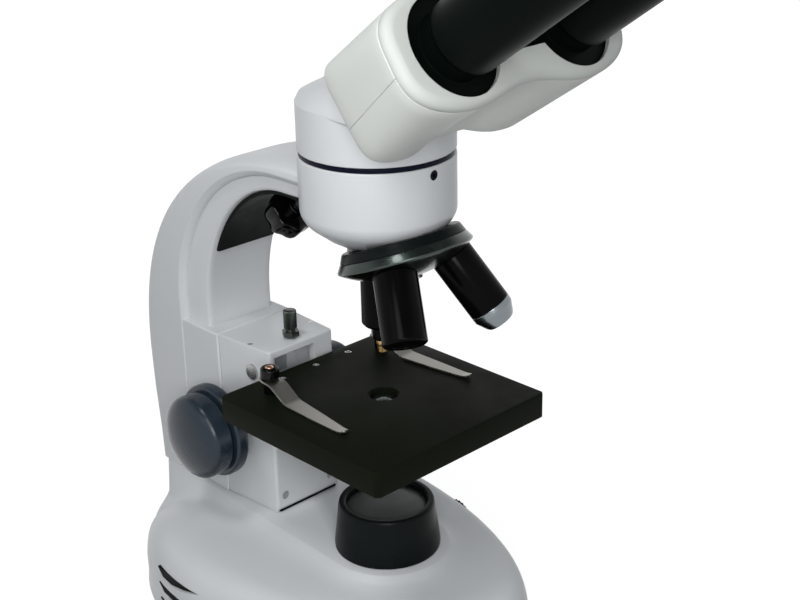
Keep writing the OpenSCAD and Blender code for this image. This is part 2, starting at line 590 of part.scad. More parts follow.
// The turret is domed about the apex, so that each objective stands square on it
turret_r = 32.2;
rim_at = 47;
dome_r = 57;
seat_at = 56.2;
thread_r = 9;
shank_at = seat_at - 5;
module turret() color("gray") difference() {
    on_turret() mirror([0, 0, 1]) rotate_extrude($fn = 128) polygon(concat(
        [[bolt_r + 0.05, turret_top], [turret_r - 2.6, turret_top], [turret_r - 2, turret_top + 0.5],
        [turret_r, rim_at - 0.8], [turret_r - 0.2, rim_at]],
        [for (a = [33:-3:6]) dome_r * [sin(a), cos(a)]], [[bolt_r + 0.05, dome_r - 0.1]]));
    for (k = [0:2]) on_objective(k) {
        lift(-seat_at - 8) cylinder(h = 8, r = 11.4);
        lift(-seat_at - 1) cylinder(h = 30, r = thread_r + 0.02);
    }
}
module turret_cap() color("silver") on_turret() mirror([0, 0, 1]) rotate_extrude() polygon([
    [0, mount_top + 0.4], [bolt_r, mount_top + 0.4], [bolt_r, dome_r + 0.1], [5.4, dome_r + 0.1],
    [5.2, dome_r + 1.2], [2, dome_r + 1.8], [2, dome_r + 1], [0, dome_r + 1]]);

// An objective is a turned barrel whose profile runs down from the apex
module objective(k, profile) color("black") on_objective(k) mirror([0, 0, 1])
    rotate_extrude($fn = 96) polygon(concat([[6, shank_at], [thread_r, shank_at],
        [thread_r, seat_at + 0.05]], profile, [[6, profile[len(profile) - 1].y]]));
barrel_r = 10.2;
low_end = 88.6;
mid_end = 96;
high_end = 97;
mid_shoulder = 86.5;
high_shoulder = 82.5;
module objective_low() objective(1, [[barrel_r, seat_at + 0.05], [barrel_r, low_end - 0.8],
    [barrel_r - 0.8, low_end]]);
module objective_mid() objective(2, [[barrel_r, seat_at + 0.05], [barrel_r, mid_shoulder - 0.1]]);
module objective_high() color("black") on_objective(0) mirror([0, 0, 1]) rotate_extrude($fn = 96)
    polygon([[4.65, shank_at], [thread_r, shank_at], [thread_r, seat_at + 0.05],
        [barrel_r - 0.6, seat_at + 0.05], [barrel_r - 0.6, high_shoulder - 1.6],
        [barrel_r - 2, high_shoulder], [4.65, high_shoulder]]);
module objective_mid_nose() color("silver") on_objective(2) mirror([0, 0, 1]) rotate_extrude($fn = 96)
    polygon([[3.2, mid_shoulder - 4], [5.9, mid_shoulder - 4], [5.9, mid_shoulder],
        [barrel_r, mid_shoulder], [barrel_r - 0.1, mid_shoulder + 3], [7.6, mid_end - 1.6],
        [6.6, mid_end - 0.4], [5.6, mid_end], [3.2, mid_end]]);
// The nose of the high objective springs back if it meets a slide
nose_spring = 3;
module objective_high_nose() color("goldenrod") on_objective(0) mirror([0, 0, 1])
    rotate_extrude($fn = 96) polygon([[0, seat_at + 8], [4.6, seat_at + 8], [4.6, 89.5], [3.7, 90.2],
        [3.7, 93], [2.6, high_end - 0.6], [2.2, high_end], [1.2, high_end], [1.2, high_end - 0.5],
        [0, high_end - 0.7]]);
module objective_lenses() color("lightcyan") {
    on_objective(1) lift(-low_end + 3) cylinder(h = 2, r = 5.95);
    on_objective(2) lift(-mid_end + 0.8) cylinder(h = 2, r = 3.15);
}

// ---- Head ----

module on_face() on_axis() translate([0, face_y, face_z]) rotate([90 - tube_rise, 0, 0]) children();
bezel_t = 5.5;
body_top = 27.3;
body_low = 27.6;
body_depth = 62;
back_half_w = 48.5;
back_top = 26.2;
back_low = 25.3;
body_lean = 0.067;
seam_v = -6;
outline_n = 60;
// The outline is a rounded oblong, hollow in the middle of its lower edge. It goes
// over, by the given share, into the smaller and squarer outline of the back.
function head_outline(share, inset) = [for (i = [0:outline_n - 1])
    let (t = 360 * (i + 0.5) / outline_n, low = sin(t) < 0,
        e = low ? mix(0.62, 0.34, share) : mix(0.615, 0.31, share),
        x = (mix(body_half_w, back_half_w, share) - inset) * spow(cos(t), e))
    [x, spow(sin(t), e) * (low
        ? mix(body_low, back_low, share) - inset - mix(7, 12, share) * exp(-x * x / 560)
        : mix(body_top, back_top, share) - inset)]];
function head_ring_at(d, inset, share) =
    [for (p = head_outline(share, inset)) [p.x, p.y, d - body_lean * share * share * p.y]];
body_rings = [[-body_depth, 1.6, 1], [1.2 - body_depth, 0.5, 0.98], [3.2 - body_depth, 0, 0.94],
    [-46, 0, 0.715], [-33, 0, 0.485], [-20, 0, 0.255], [-bezel_t - 0.15, 0, 0]];
light_port_r = 13;
wall = 2.6;
module body_shell() difference() {
    skin([for (r = body_rings) head_ring_at(r[0], r[1], r[2])]);
    lift(10 - body_depth) linear_extrude(body_depth) polygon(head_outline(1, wall));
    lift(-11) linear_extrude(11) polygon(head_outline(0, wall));
    lift(-body_depth - 10) cylinder(h = 40, r = light_port_r);
}
module beyond_seam(side) translate([-100, seam_v + (side > 0 ? 0.08 : -100.08), -100])
    cube([200, 100, 200]);
module shell_upper() color("whitesmoke") on_face() intersection() {
    body_shell();
    beyond_seam(1);
}
module shell_lower() color("whitesmoke") on_face() intersection() {
    body_shell();
    beyond_seam(-1);
}
slot_half_h = 8;
carrier_r = 23.2;
carrier_t = 2;
carrier_front = -2.4;
slide_in = 5.5;
slide_out = 3.5;
module wide_hole(r, from, to) {
    for (x = [from, to]) translate([x, 0]) circle(r = r);
    translate([from, -r]) square([to - from, 2 * r]);
}
module head_face() color("whitesmoke") on_face() difference() {
    skin([for (r = [[-bezel_t, 0], [-3.6, 0], [-1.8, 0.7], [-0.6, 2], [0, 3.8]])
        head_ring_at(r[0], r[1], 0)]);
    both_sides() translate([half_ipd, 0, -20]) cylinder(h = 40, r = window_r);
    translate([-half_ipd, -slot_half_h, -20]) cube([2 * half_ipd, 2 * slot_half_h, 40]);
    both_sides() lift(-20) linear_extrude(20 + carrier_front + 0.2)
        wide_hole(carrier_r + 0.3, half_ipd - slide_in - 0.3, half_ipd + slide_out + 0.3);
}
module slide_backing() color("black") on_face() lift(-bezel_t - 2.3) difference() {
    linear_extrude(2) polygon(head_outline(0, wall + 0.3));
    both_sides() lift(-1) linear_extrude(4) wide_hole(10, half_ipd - slide_in, half_ipd + slide_out);
}

// The neck turns in the head ring and leans forward into the body
module on_back() on_face() lift(-body_depth) rotate([-atan(body_lean), 0, 0]) children();
neck_foot = seam_high + 0.3;
neck_z = stage_top + 147;
module head_neck() color("whitesmoke") difference() {
    union() {
        on_axis() rotate_extrude($fn = 128) polygon([[0, spigot_low + 0.3],
            [spigot_r, spigot_low + 0.3], [spigot_r, neck_foot], [ring_r - 0.3, neck_foot],
            [ring_r, neck_foot + 0.3], [ring_r, neck_z], [0, neck_z]]);
        hull() {
            on_axis() lift(neck_z - 1) cylinder(h = 1, r = ring_r, $fn = 96);
            on_axis() lift(neck_z + 2.6) cylinder(h = 0.4, r = ring_r - 1.6, $fn = 96);
            on_back() translate([0, 2, 2]) cube([60, 34, 1], center = true);
            on_back() translate([0, 11, 1]) cube([50, 24, 1], center = true);
        }
    }
    on_axis() lift(spigot_low) cylinder(h = 30, r = 14);
    on_face() lift(-body_depth - 40) cylinder(h = 60, r = light_port_r);
    on_back() translate([-100, -100, -0.05]) cube([200, 200, 100]);
}

// ---- Eyepiece tubes ----

foot_r2 = 15.2;
collar_at = 7.3;
barrel_bore = 11.65;
bore_depth = 28;
dioptre_len = 12;
dioptre_low = tube_len - dioptre_len;
dioptre_hub = 14.4;
module on_tube(side) on_face() translate([side * half_ipd, 0, 0]) children();
// The upper end of a tube is plain, or necked down to carry the dioptre ring
module eye_tube(end) color("black") rotate_extrude($fn = 96) polygon(concat([
    [10, carrier_front - carrier_t], [carrier_r, carrier_front - carrier_t],
    [carrier_r, carrier_front], [foot_r2, carrier_front], [foot_r2, collar_at - 2],
    [tube_r, collar_at]], end, [[barrel_bore, tube_len], [barrel_bore, tube_len - bore_depth],
    [10, tube_len - bore_depth]]));
module tube_left() on_tube(-1) eye_tube([[tube_r, dioptre_low - 0.2],
    [dioptre_hub, dioptre_low - 0.2], [dioptre_hub, tube_len]]);
module tube_right() on_tube(1) eye_tube([[tube_r, tube_len - 0.6], [tube_r - 0.6, tube_len]]);
ring_outer = 17.3;
module dioptre_ring() color("black") on_tube(-1) difference() {
    lift(dioptre_low) rotate_extrude($fn = 96) polygon([[dioptre_hub + 0.05, 0], [ring_outer - 0.5, 0],
        [ring_outer, 0.5], [ring_outer, dioptre_len - 0.8], [ring_outer - 0.5, dioptre_len - 0.3],
        [dioptre_hub + 0.05, dioptre_len - 0.3]]);
    for (a = [0:12:348]) rotate(a) translate([ring_outer + 0.2, 0, dioptre_low + 2])
        cylinder(h = dioptre_len - 4.3, r = 0.6);
}
module eyepiece() color("black") lift(tube_len) rotate_extrude($fn = 96) polygon([
    [9, -26], [barrel_bore - 0.05, -26], [barrel_bore - 0.05, 0.05], [tube_r - 0.4, 0.05],
    [tube_r, 0.6], [tube_r, 4], [tube_r - 1, 5], [tube_r - 1, 7], [guard_r - 0.4, 13],
    [guard_r, 15], [guard_r, 20.5], [guard_r - 1.2, 22], [guard_r - 2.6, 22], [13.4, 18.6],
    [10.5, 18.6], [10.5, 15], [9, 15]]);
module eyepiece_left() on_tube(-1) eyepiece();
module eyepiece_right() on_tube(1) eyepiece();
module eye_lens() rotate_extrude() polygon(concat([[0, tube_len + 15.1], [10.4, tube_len + 15.1]],
    [for (r = [10.4, 8, 5, 2.5, 0]) [r, tube_len + 18.2 - 0.012 * r * r]]));
module eye_lens_left() color("lightcyan") on_tube(-1) eye_lens();
module eye_lens_right() color("lightcyan") on_tube(1) eye_lens();

base_shell();
bottom_plate();
feet();
plate_screws();
vent_inserts();
collector_collar();
collector_lens();
lamp_unit();
power_inlet();
inlet_pins();
switch_frame();
rocker_switch();
brightness_dial();
arm();
arch_cover();
head_clamp_knob();
focus_block();
block_screws();
stop_screw();
stage_slide();
rack();
stage_plate();
stage_screws();
condenser_mount();
condenser_lens();
disc_diaphragm();
clip_blade_left();
clip_knob_left();
clip_blade_right();
clip_knob_right();
pinion_shaft();
coarse_knob_left();
coarse_knob_right();
fine_shaft();
fine_knob_left();
fine_knob_right();
head_ring();
head_set_screw();
nosepiece_mount();
turret();
turret_cap();
objective_low();
objective_mid();
objective_mid_nose();
objective_high();
objective_high_nose();
objective_lenses();
seam_ring();
head_neck();
shell_lower();
shell_upper();
head_face();
slide_backing();
tube_left();
tube_right();
eyepiece_left();
eyepiece_right();
dioptre_ring();
eye_lens_left();
eye_lens_right();
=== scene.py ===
import math

import bmesh
import bpy
import numpy as np
from mathutils import Matrix, Vector


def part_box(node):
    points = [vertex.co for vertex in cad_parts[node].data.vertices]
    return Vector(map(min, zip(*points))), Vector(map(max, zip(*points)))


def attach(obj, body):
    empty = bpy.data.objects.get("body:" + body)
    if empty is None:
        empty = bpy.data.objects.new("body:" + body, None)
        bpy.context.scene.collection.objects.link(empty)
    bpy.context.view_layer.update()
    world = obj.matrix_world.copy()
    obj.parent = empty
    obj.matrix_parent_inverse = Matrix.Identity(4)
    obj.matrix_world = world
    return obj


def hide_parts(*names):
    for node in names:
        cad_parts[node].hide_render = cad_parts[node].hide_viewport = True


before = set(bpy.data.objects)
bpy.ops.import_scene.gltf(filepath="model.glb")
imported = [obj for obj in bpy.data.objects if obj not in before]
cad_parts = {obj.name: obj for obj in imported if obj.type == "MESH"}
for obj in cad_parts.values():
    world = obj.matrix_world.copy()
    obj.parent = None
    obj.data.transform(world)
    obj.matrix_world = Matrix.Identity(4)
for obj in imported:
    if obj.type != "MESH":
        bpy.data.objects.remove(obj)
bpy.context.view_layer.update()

# ---- Base housing ----
# A pear-shaped cast housing with thin walls and open below. A raised tongue runs
# back from the lamp to the foot of the arm, and the shoulders sink beside it.
# It is painted with white enamel, a little uneven, as sprayed castings are.
mm = 0.001
axis_y = sum(corner.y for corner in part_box("collector_collar")) / 2
stage_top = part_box("stage_plate")[1].z / mm


def on_axis(x=0, y=0, z=0):
    return Matrix.Translation((x * mm, axis_y + y * mm, z * mm))


def fit_out(piece, finish, body, slot, *stands_for):
    piece.data.materials.clear()
    piece.data.materials.append(finish)
    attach(piece, body)
    if stands_for:
        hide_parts(*stands_for)
    return piece


def shape(name, points, faces, place, sharp=34):
    mesh = bpy.data.meshes.new(name)
    mesh.from_pydata([[c * mm for c in p] for p in points], [], faces)
    clean = bmesh.new()
    clean.from_mesh(mesh)
    bmesh.ops.recalc_face_normals(clean, faces=clean.faces)
    clean.to_mesh(mesh)
    clean.free()
    smooth_faces(mesh, sharp)
    piece = bpy.data.objects.new(name, mesh)
    bpy.context.scene.collection.objects.link(piece)
    piece.matrix_world = place
    return piece


def smooth_faces(mesh, sharp=34):
    mesh.shade_smooth()
    mesh.set_sharp_from_angle(angle=math.radians(sharp))


def skin(rings):
    # The points and side faces of a stack of rings, a ring's length and where the last starts
    n = len(rings[0])
    faces = [(j * n + i, j * n + (i + 1) % n, (j + 1) * n + (i + 1) % n, (j + 1) * n + i)
             for j in range(len(rings) - 1) for i in range(n)]
    return [p for ring in rings for p in ring], faces, n, (len(rings) - 1) * n


def loft(name, rings, place, sharp=34):
    points, faces, n, last = skin(rings)
    return shape(name, points, faces + [tuple(range(n))[::-1], tuple(range(last, last + n))], place, sharp)


def prism(name, outline, low, high, place):
    return loft(name, [[(x, y, low) for x, y in outline], [(x, y, high) for x, y in outline]], place)


def rod(radius, low, high, place, steps=64):
    ring = [(radius * math.cos(a), radius * math.sin(a))
            for a in (2 * math.pi * k / steps for k in range(steps))]
    return prism("cutter", ring, low, high, place)


def block(x, y, z, place):
    return prism("cutter", [(x[0], y[0]), (x[1], y[0]), (x[1], y[1]), (x[0], y[1])], z[0], z[1], place)


def cut(piece, *cutters, sharp=34):
    for cutter in cutters:
        tool = piece.modifiers.new("cut", "BOOLEAN")
        tool.operation, tool.solver, tool.object = "DIFFERENCE", "MANIFOLD", cutter
    bpy.context.view_layer.update()
    carved = bpy.data.meshes.new_from_object(piece.evaluated_get(bpy.context.evaluated_depsgraph_get()))
    piece.modifiers.clear()
    old, piece.data = piece.data, carved
    carved.name = old.name
    for cutter in cutters:
        bpy.data.objects.remove(cutter)
    smooth_faces(piece.data, sharp)
    return piece


def round_edges(piece, width, steps=3, angle=40):
    edge = piece.modifiers.new("round", "BEVEL")
    edge.width, edge.segments, edge.limit_method = width * mm, steps, "ANGLE"
    edge.angle_limit = math.radians(angle)
    return piece


def mix(a, b, t):
    return a + (b - a) * t


def run_through(values, parts):
    # A smooth run of rows through the given rows
    rows = [np.array(v, float) for v in values]
    rows = [2 * rows[0] - rows[1], *rows, 2 * rows[-1] - rows[-2]]
    out = []
    for a, b, c, d in zip(rows, rows[1:], rows[2:], rows[3:]):
        for t in np.arange(parts) / parts:
            line = b + (c - b) * t
            curve = 0.5 * (2 * b + (c - a) * t + (2 * a - 5 * b + 4 * c - d) * t ** 2
                           + (3 * b - a - 3 * c + d) * t ** 3)
            out.append(line * 0.25 + curve * 0.75)
    return out + [rows[-2]]


def wire(material, kind, *links, **sockets):
    node = material.node_tree.nodes.new("ShaderNode" + kind)
    for name, value in sockets.items():
        if hasattr(node, name):
            setattr(node, name, value)
    for socket, source in links:
        if isinstance(source, bpy.types.NodeSocket):
            material.node_tree.links.new(node.inputs[socket], source)
        else:
            node.inputs[socket].default_value = source
    return node


def finish_with(name, metallic=0.0, coat=0.0, specular=0.5, coat_roughness=0.1):
    material = bpy.data.materials.new(name)
    material.use_nodes = True
    shader = material.node_tree.nodes["Principled BSDF"]
    shader.inputs["Metallic"].default_value = metallic
    shader.inputs["Coat Weight"].default_value = coat
    shader.inputs["Coat Roughness"].default_value = coat_roughness
    shader.inputs["Specular IOR Level"].default_value = specular
    return material, shader


def drive(material, shader, socket, source):
    material.node_tree.links.new(shader.inputs[socket], source)


def enamel(name, dark, light, smooth=0.30, rough=0.42, coat=0.25, specular=0.5):
    # Sprayed paint: a slow change of tone, painted shade where parts meet, orange peel
    material, shader = finish_with(name, coat=coat, coat_roughness=0.14, specular=specular)
    where = wire(material, "TexCoord").outputs["Object"]
    cloud = wire(material, "TexNoise", ("Vector", where), ("Scale", 14.0), ("Detail", 4.0))
    tone = wire(material, "Mix", (6, (*dark, 1)), (7, (*light, 1)), (0, cloud.outputs[0]), data_type="RGBA")
    # Painted shade: the tone is darkened where ambient occlusion finds nearby surfaces, in creases and where
    # parts meet
    near = wire(material, "AmbientOcclusion", ("Distance", 0.007), samples=4)
    crevice_shade = wire(material, "MapRange", (0, near.outputs["AO"]), (1, 0.15), (2, 0.75), (3, 0.80), (4, 1.0))
    shaded_tone = wire(material, "Mix", (0, 1.0), (6, tone.outputs[2]), (7, crevice_shade.outputs[0]),
                  data_type="RGBA", blend_type="MULTIPLY")
    drive(material, shader, "Base Color", shaded_tone.outputs[2])
    patch = wire(material, "TexNoise", ("Vector", where), ("Scale", 55.0), ("Detail", 5.0))
    sheen = wire(material, "MapRange", (0, patch.outputs[0]), (1, 0.3), (2, 0.7), (3, smooth), (4, rough))
    drive(material, shader, "Roughness", sheen.outputs[0])
    peel = wire(material, "TexNoise", ("Vector", where), ("Scale", 620.0), ("Detail", 2.0))
    soft = wire(material, "Bevel", ("Radius", 0.0005), samples=4)
    bump = wire(material, "Bump", ("Strength", 0.05), ("Distance", 0.0002), ("Height", peel.outputs[0]),
                ("Normal", soft.outputs[0]))
    drive(material, shader, "Normal", bump.outputs[0])
    return material


white_enamel = enamel("white enamel", (0.68, 0.705, 0.722), (0.74, 0.767, 0.785), coat=0.04, specular=0.25)

base_half_w, base_nose, base_heel, base_mid = 80, 76, 163, 65
tongue_h, tongue_r, tongue_half_w, tongue_corner = 52, 31, 25.6, 140
foot_h, heel_sag = 4, 19


def rim(t):
    if t < 0.6:
        a = math.radians(90 * t / 0.6)
        return (base_half_w * math.sin(a) ** 0.78, base_mid - (base_mid + base_nose) * math.cos(a) ** 1.38)
    a = math.radians(90 * (t - 0.6) / 0.4)
    return base_half_w * math.cos(a), base_mid + (base_heel - base_mid) * math.sin(a)


def tongue(t):
    if t < 0.4:
        a = math.radians(90 * t / 0.4)
        return tongue_r * math.sin(a), -tongue_r * math.cos(a)
    if t < 0.78:
        share = (t - 0.4) / 0.38
        return mix(tongue_r, tongue_half_w, share), mix(0, tongue_corner, share)
    a = math.radians(90 * (t - 0.78) / 0.22)
    return (tongue_half_w * math.sqrt(max(0, math.cos(a))),
            tongue_corner + (base_heel - 1 - tongue_corner) * math.sqrt(max(0, math.sin(a))))


half_steps = 110


def all_round(line):
    half = [line(k / half_steps) for k in range(half_steps + 1)]
    return half + [(-x, y) for x, y in half[-2:0:-1]]


def base_level(share, height, sag):
    ring = []
    for (ax, ay), (bx, by) in zip(all_round(rim), all_round(tongue)):
        x, y = mix(ax, bx, share), mix(ay, by, share)
        drop = min(heel_sag, heel_sag * (max(0, y - 95) / 50) ** 1.6)
        ring.append((x, y, height - sag * drop))
    return ring


base_levels = [(-0.02, foot_h - 1, 0), (0, foot_h + 3, 0), (0, 15, 0.5), (0, 26, 0.84), (0.03, 32.5, 0.9),
               (0.08, 37.5, 0.95), (0.16, 41.5, 1), (0.28, 44, 1), (0.5, 45.6, 1), (0.75, 47, 0.97),
               (0.88, 48.6, 0.9), (0.95, tongue_h - 1.6, 0.4), (1, tongue_h, 0)]
base = loft("base_housing", [base_level(*row) for row in run_through(base_levels, 4)], on_axis(), sharp=50)
inside = [(x * 0.9, 60 + (y - 60) * 0.93) for x, y in all_round(rim)]
vent_x, vent_tops = base_half_w - 5, (31, 21.5, 12)
vent_leaf = [(95, 0), (57, 0), (64, -2), (72, -4.2), (82, -5.6), (90, -4.6)]


def vent_slot(side, top, depth):
    x = side * vent_x
    return loft("cutter", [[(x + side * d, y, top + z) for y, z in vent_leaf] for d in (0, depth)], on_axis())


inlet_back = base_heel - 0.3
cut(base, prism("cutter", inside, 0, 22, on_axis()), rod(18, 10, 60, on_axis()),
    *[vent_slot(side, top, 20) for side in (-1, 1) for top in vent_tops],
    block((-13.5, 13.5), (inlet_back - 18, inlet_back + 12), (8, 29), on_axis()),
    block((-10, 10), (inlet_back - 12, inlet_back + 18), (33, 47), on_axis()),
    rod(10.5, 0, 20, on_axis(70.5, 25, 24) @ Matrix.Rotation(math.radians(90), 4, "Y")), sharp=50)
fit_out(base, white_enamel, "stand", "white_paint", "base_shell")

# ---- Vents, bottom plate and feet ----
# Leaf-shaped black plastic inserts close the vents. A pressed steel plate shuts the
# housing from below, and rubber feet are screwed on through it.


def mottle(material, shader, cloud, dark, light, smooth, rough):
    # Colour and gloss vary together, as the cloud does
    tone = wire(material, "Mix", (0, cloud.outputs[0]), (6, (*dark, 1)), (7, (*light, 1)), data_type="RGBA")
    drive(material, shader, "Base Color", tone.outputs[2])
    sheen = wire(material, "MapRange", (0, cloud.outputs[0]), (1, 0.3), (2, 0.7), (3, smooth), (4, rough))
    drive(material, shader, "Roughness", sheen.outputs[0])


def moulding(name, colour, smooth=0.42, rough=0.6, grain=1400.0, relief=0.10, specular=0.45):
    # Moulded plastic: a fine etched grain and slightly uneven gloss
    material, shader = finish_with(name, specular=specular)
    where = wire(material, "TexCoord").outputs["Object"]
    cloud = wire(material, "TexNoise", ("Vector", where), ("Scale", 70.0), ("Detail", 5.0))
    mottle(material, shader, cloud, [c * 0.75 for c in colour], [c * 1.3 for c in colour], smooth, rough)
    pits = wire(material, "TexNoise", ("Vector", where), ("Scale", grain), ("Detail", 3.0))
    soft = wire(material, "Bevel", ("Radius", 0.0003), samples=4)
    bump = wire(material, "Bump", ("Strength", relief), ("Distance", 0.0002), ("Height", pits.outputs[0]),
                ("Normal", soft.outputs[0]))
    drive(material, shader, "Normal", bump.outputs[0])
    return material


def dress(finish, *nodes):
    for node in nodes:
        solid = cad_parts[node]
        solid.data.materials.clear()
        solid.data.materials.append(finish)
        smooth_faces(solid.data, 28)


black_moulding = moulding("black moulding", (0.0045, 0.0062, 0.0056), specular=0.05)
soft_rubber = moulding("soft rubber", (0.008, 0.008, 0.008), smooth=0.7, rough=0.85, grain=900.0, specular=0.08)

vent_rows = []
for side in (-1, 1):
    for top in vent_tops:
        x = side * vent_x
        leaf = loft("vent_leaf", [[(x + side * (d - d / 40 * max(0, y - 82)), 58 + (y - 58) * 0.985,
                                    top - 0.15 + z * 0.96) for y, z in vent_leaf] for d in (0, 3)], on_axis())
        vent_rows.append(leaf)


def join(name, pieces):
    # Puts several meshes into one piece
    target = bmesh.new()
    for piece in pieces:
        copy = piece.data.copy()
        copy.transform(piece.matrix_world)
        target.from_mesh(copy)
        bpy.data.meshes.remove(copy)
        bpy.data.objects.remove(piece)
    mesh = bpy.data.meshes.new(name)
    target.to_mesh(mesh)
    target.free()
    joined = bpy.data.objects.new(name, mesh)
    bpy.context.scene.collection.objects.link(joined)
    return joined


vents = join("vent_leaves", vent_rows)
fit_out(round_edges(vents, 0.3), black_moulding, "stand", "black_plastic", "vent_inserts")


def soften(line, radius):
    # Rounds every corner of a closed outline, except on the axis
    out = []
    for i, corner in enumerate(line):
        v, a, b = Vector(corner), Vector(line[i - 1]), Vector(line[(i + 1) % len(line)])
        before, after = a - v, b - v
        if v.x < 1e-6 or before.length < 1e-6 or after.length < 1e-6 or before.angle(after) > math.radians(166):
            out.append(tuple(v))
            continue
        start = v + before.normalized() * min(radius, before.length * 0.45)
        end = v + after.normalized() * min(radius, after.length * 0.45)
        out += [tuple(start.lerp(v, t).lerp(v.lerp(end, t), t)) for t in (0, 0.25, 0.5, 0.75, 1)]
    return out


def turned(name, profile, place, radius=0.35, steps=128, sharp=40):
    # A piece turned on a lathe: profile points are radius and height
    line = soften(profile, radius) if radius else profile
    points, rows = [], []
    for r, z in line:
        if r < 1e-6:
            rows.append([len(points)] * steps)
            points.append((0, 0, z))
        else:
            rows.append(list(range(len(points), len(points) + steps)))
            points += [(r * math.cos(a), r * math.sin(a), z)
                       for a in (2 * math.pi * k / steps for k in range(steps))]
    faces = []
    for low, high in zip(rows, rows[1:] + rows[:1]):
        for k in range(steps):
            ring = [low[k], low[(k + 1) % steps], high[(k + 1) % steps], high[k]]
            ring = list(dict.fromkeys(ring))
            if len(ring) > 2:
                faces.append(ring)
    return shape(name, points, faces, place, sharp)


foot_places = [(47, -6), (-47, -6), (50, 111), (-50, 111)]
feet = join("rubber_feet", [turned("foot", [(3.4, 1.2), (3.4, 0), (7.5, 0), (9, 1.5), (9, 4), (1.5, 4),
                                            (1.5, 1.2)], on_axis(x, y)) for x, y in foot_places])
smooth_faces(feet.data, 40)
fit_out(feet, soft_rubber, "stand", "rubber", "feet")


def metal(name, colour, smooth=0.18, rough=0.32, lines=2600.0, relief=0.12, coat=0.0, tint=0.9):
    # Turned or rolled metal: fine tool lines round the axis, and a little tarnish
    material, shader = finish_with(name, metallic=1.0, coat=coat)
    where = wire(material, "TexCoord").outputs["Object"]
    apart = wire(material, "SeparateXYZ", ("Vector", where))
    across_sq = wire(material, "Math", (0, apart.outputs[0]), (1, apart.outputs[0]), operation="MULTIPLY")
    along_sq = wire(material, "Math", (0, apart.outputs[1]), (1, apart.outputs[1]), operation="MULTIPLY")
    summed = wire(material, "Math", (0, across_sq.outputs[0]), (1, along_sq.outputs[0]), operation="ADD")
    radius = wire(material, "Math", (0, summed.outputs[0]), operation="SQRT")
    lathe = wire(material, "CombineXYZ", ("X", radius.outputs[0]), ("Y", apart.outputs[2]))
    grooves = wire(material, "TexNoise", ("Vector", lathe.outputs[0]), ("Scale", lines), ("Detail", 2.0))
    cloud = wire(material, "TexNoise", ("Vector", where), ("Scale", 90.0), ("Detail", 4.0))
    tone = wire(material, "Mix", (0, cloud.outputs[0]), (6, (*[c * tint for c in colour], 1)),
                (7, (*[min(1, c * 1.05) for c in colour], 1)), data_type="RGBA")
    drive(material, shader, "Base Color", tone.outputs[2])
    mixed = wire(material, "Mix", (0, 0.5), (2, cloud.outputs[0]), (3, grooves.outputs[0]))
    sheen = wire(material, "MapRange", (0, mixed.outputs[0]), (1, 0.35), (2, 0.65), (3, smooth), (4, rough))
    drive(material, shader, "Roughness", sheen.outputs[0])
    bump = wire(material, "Bump", ("Strength", relief), ("Distance", 0.0001), ("Height", grooves.outputs[0]))
    drive(material, shader, "Normal", bump.outputs[0])
    return material


bright_steel = metal("bright steel", (0.56, 0.56, 0.55))
bare_aluminium = metal("bare aluminium", (0.70, 0.70, 0.69), smooth=0.3, rough=0.45)
satin_black = enamel("satin black paint", (0.0028, 0.0040, 0.0034), (0.0048, 0.0062, 0.0053),
                     smooth=0.34, rough=0.46, coat=0.0, specular=0.04)
dress(satin_black, "bottom_plate")
dress(bright_steel, "plate_screws")

# ---- Lamp and collector ----
# The lamp stands in a well in the tongue. A black painted collar screws down over
# it and holds a frosted lens, ground on its upper face.
collar_top = tongue_h + 25
lens_seat = collar_top - 5
dress(bare_aluminium, "lamp_unit")
collar = turned("lamp_collar", [(18, tongue_h + 0.1), (26.6, tongue_h + 0.1), (26.7, tongue_h + 2.2),
                                (24.2, collar_top - 1.4), (23.5, collar_top), (21, collar_top),
                                (20.2, collar_top - 1), (20.2, lens_seat), (18, lens_seat)],
                on_axis(), radius=0.6, steps=192)
gloss_black_paint = enamel("gloss black paint", (0.0035, 0.0055, 0.0055), (0.006, 0.0088, 0.0088),
                           smooth=0.24, rough=0.36, coat=0.0, specular=0.07)
fit_out(collar, gloss_black_paint, "stand", "black_paint", "collector_collar")


def shaded_ground_glass():
    # Ground with fine grit: milky and a little see-through. Its colour is painted dark, a painted shade for the
    # shade it lies in under the stage.
    material, shader = finish_with("ground glass")
    where = wire(material, "TexCoord").outputs["Object"]
    cloud = wire(material, "TexNoise", ("Vector", where), ("Scale", 120.0), ("Detail", 4.0))
    # Painted shade: both tones are near black, far darker than milky glass
    mottle(material, shader, cloud, (0.034, 0.042, 0.038), (0.060, 0.070, 0.064), 0.32, 0.5)
    shader.inputs["Transmission Weight"].default_value = 0.25
    shader.inputs["IOR"].default_value = 1.45
    grit = wire(material, "TexNoise", ("Vector", where), ("Scale", 3200.0), ("Detail", 2.0))
    bump = wire(material, "Bump", ("Strength", 0.2), ("Distance", 0.0002), ("Height", grit.outputs[0]))
    drive(material, shader, "Normal", bump.outputs[0])
    return material


lens_line = [(0, lens_seat + 0.1), (20.1, lens_seat + 0.1), (20.1, lens_seat + 1.6)]
lens_line += [(r, lens_seat + 2 + 1.2 * (1 - r * r / 400)) for r in (18, 15, 12, 9, 6, 3, 0)]
fit_out(turned("ground_lens", lens_line, on_axis(), radius=0.2, steps=160), shaded_ground_glass(), "stand",
        "frosted_glass", "collector_lens")

# ---- Mains inlet, switch and dimmer ----
# A black moulded inlet with three pins is let into the heel, with a rocker switch
# above it. The dimmer's ribbed dial stands out of the right flank.
dress(black_moulding, "power_inlet", "switch_frame", "rocker_switch", "brightness_dial")
dress(bright_steel, "inlet_pins")

# ---- Arm ----
# One aluminium casting, painted white: a wide outer band with rounded back corners,
# and a narrower web round the arch, which steps in along a soft contour.
arm_half_w, web_half_w, arm_front, arm_back = 25, 21, 109.5, 165
arch_y, arch_z, arch_b = 45, stage_top + 20, 77
spine_y, spine_z, spine_b = 30, stage_top - 15, 129.5
band_a, band_b = 82, 84.3
corner_w, corner_d = 15, 4.5
ring_r = 36.4


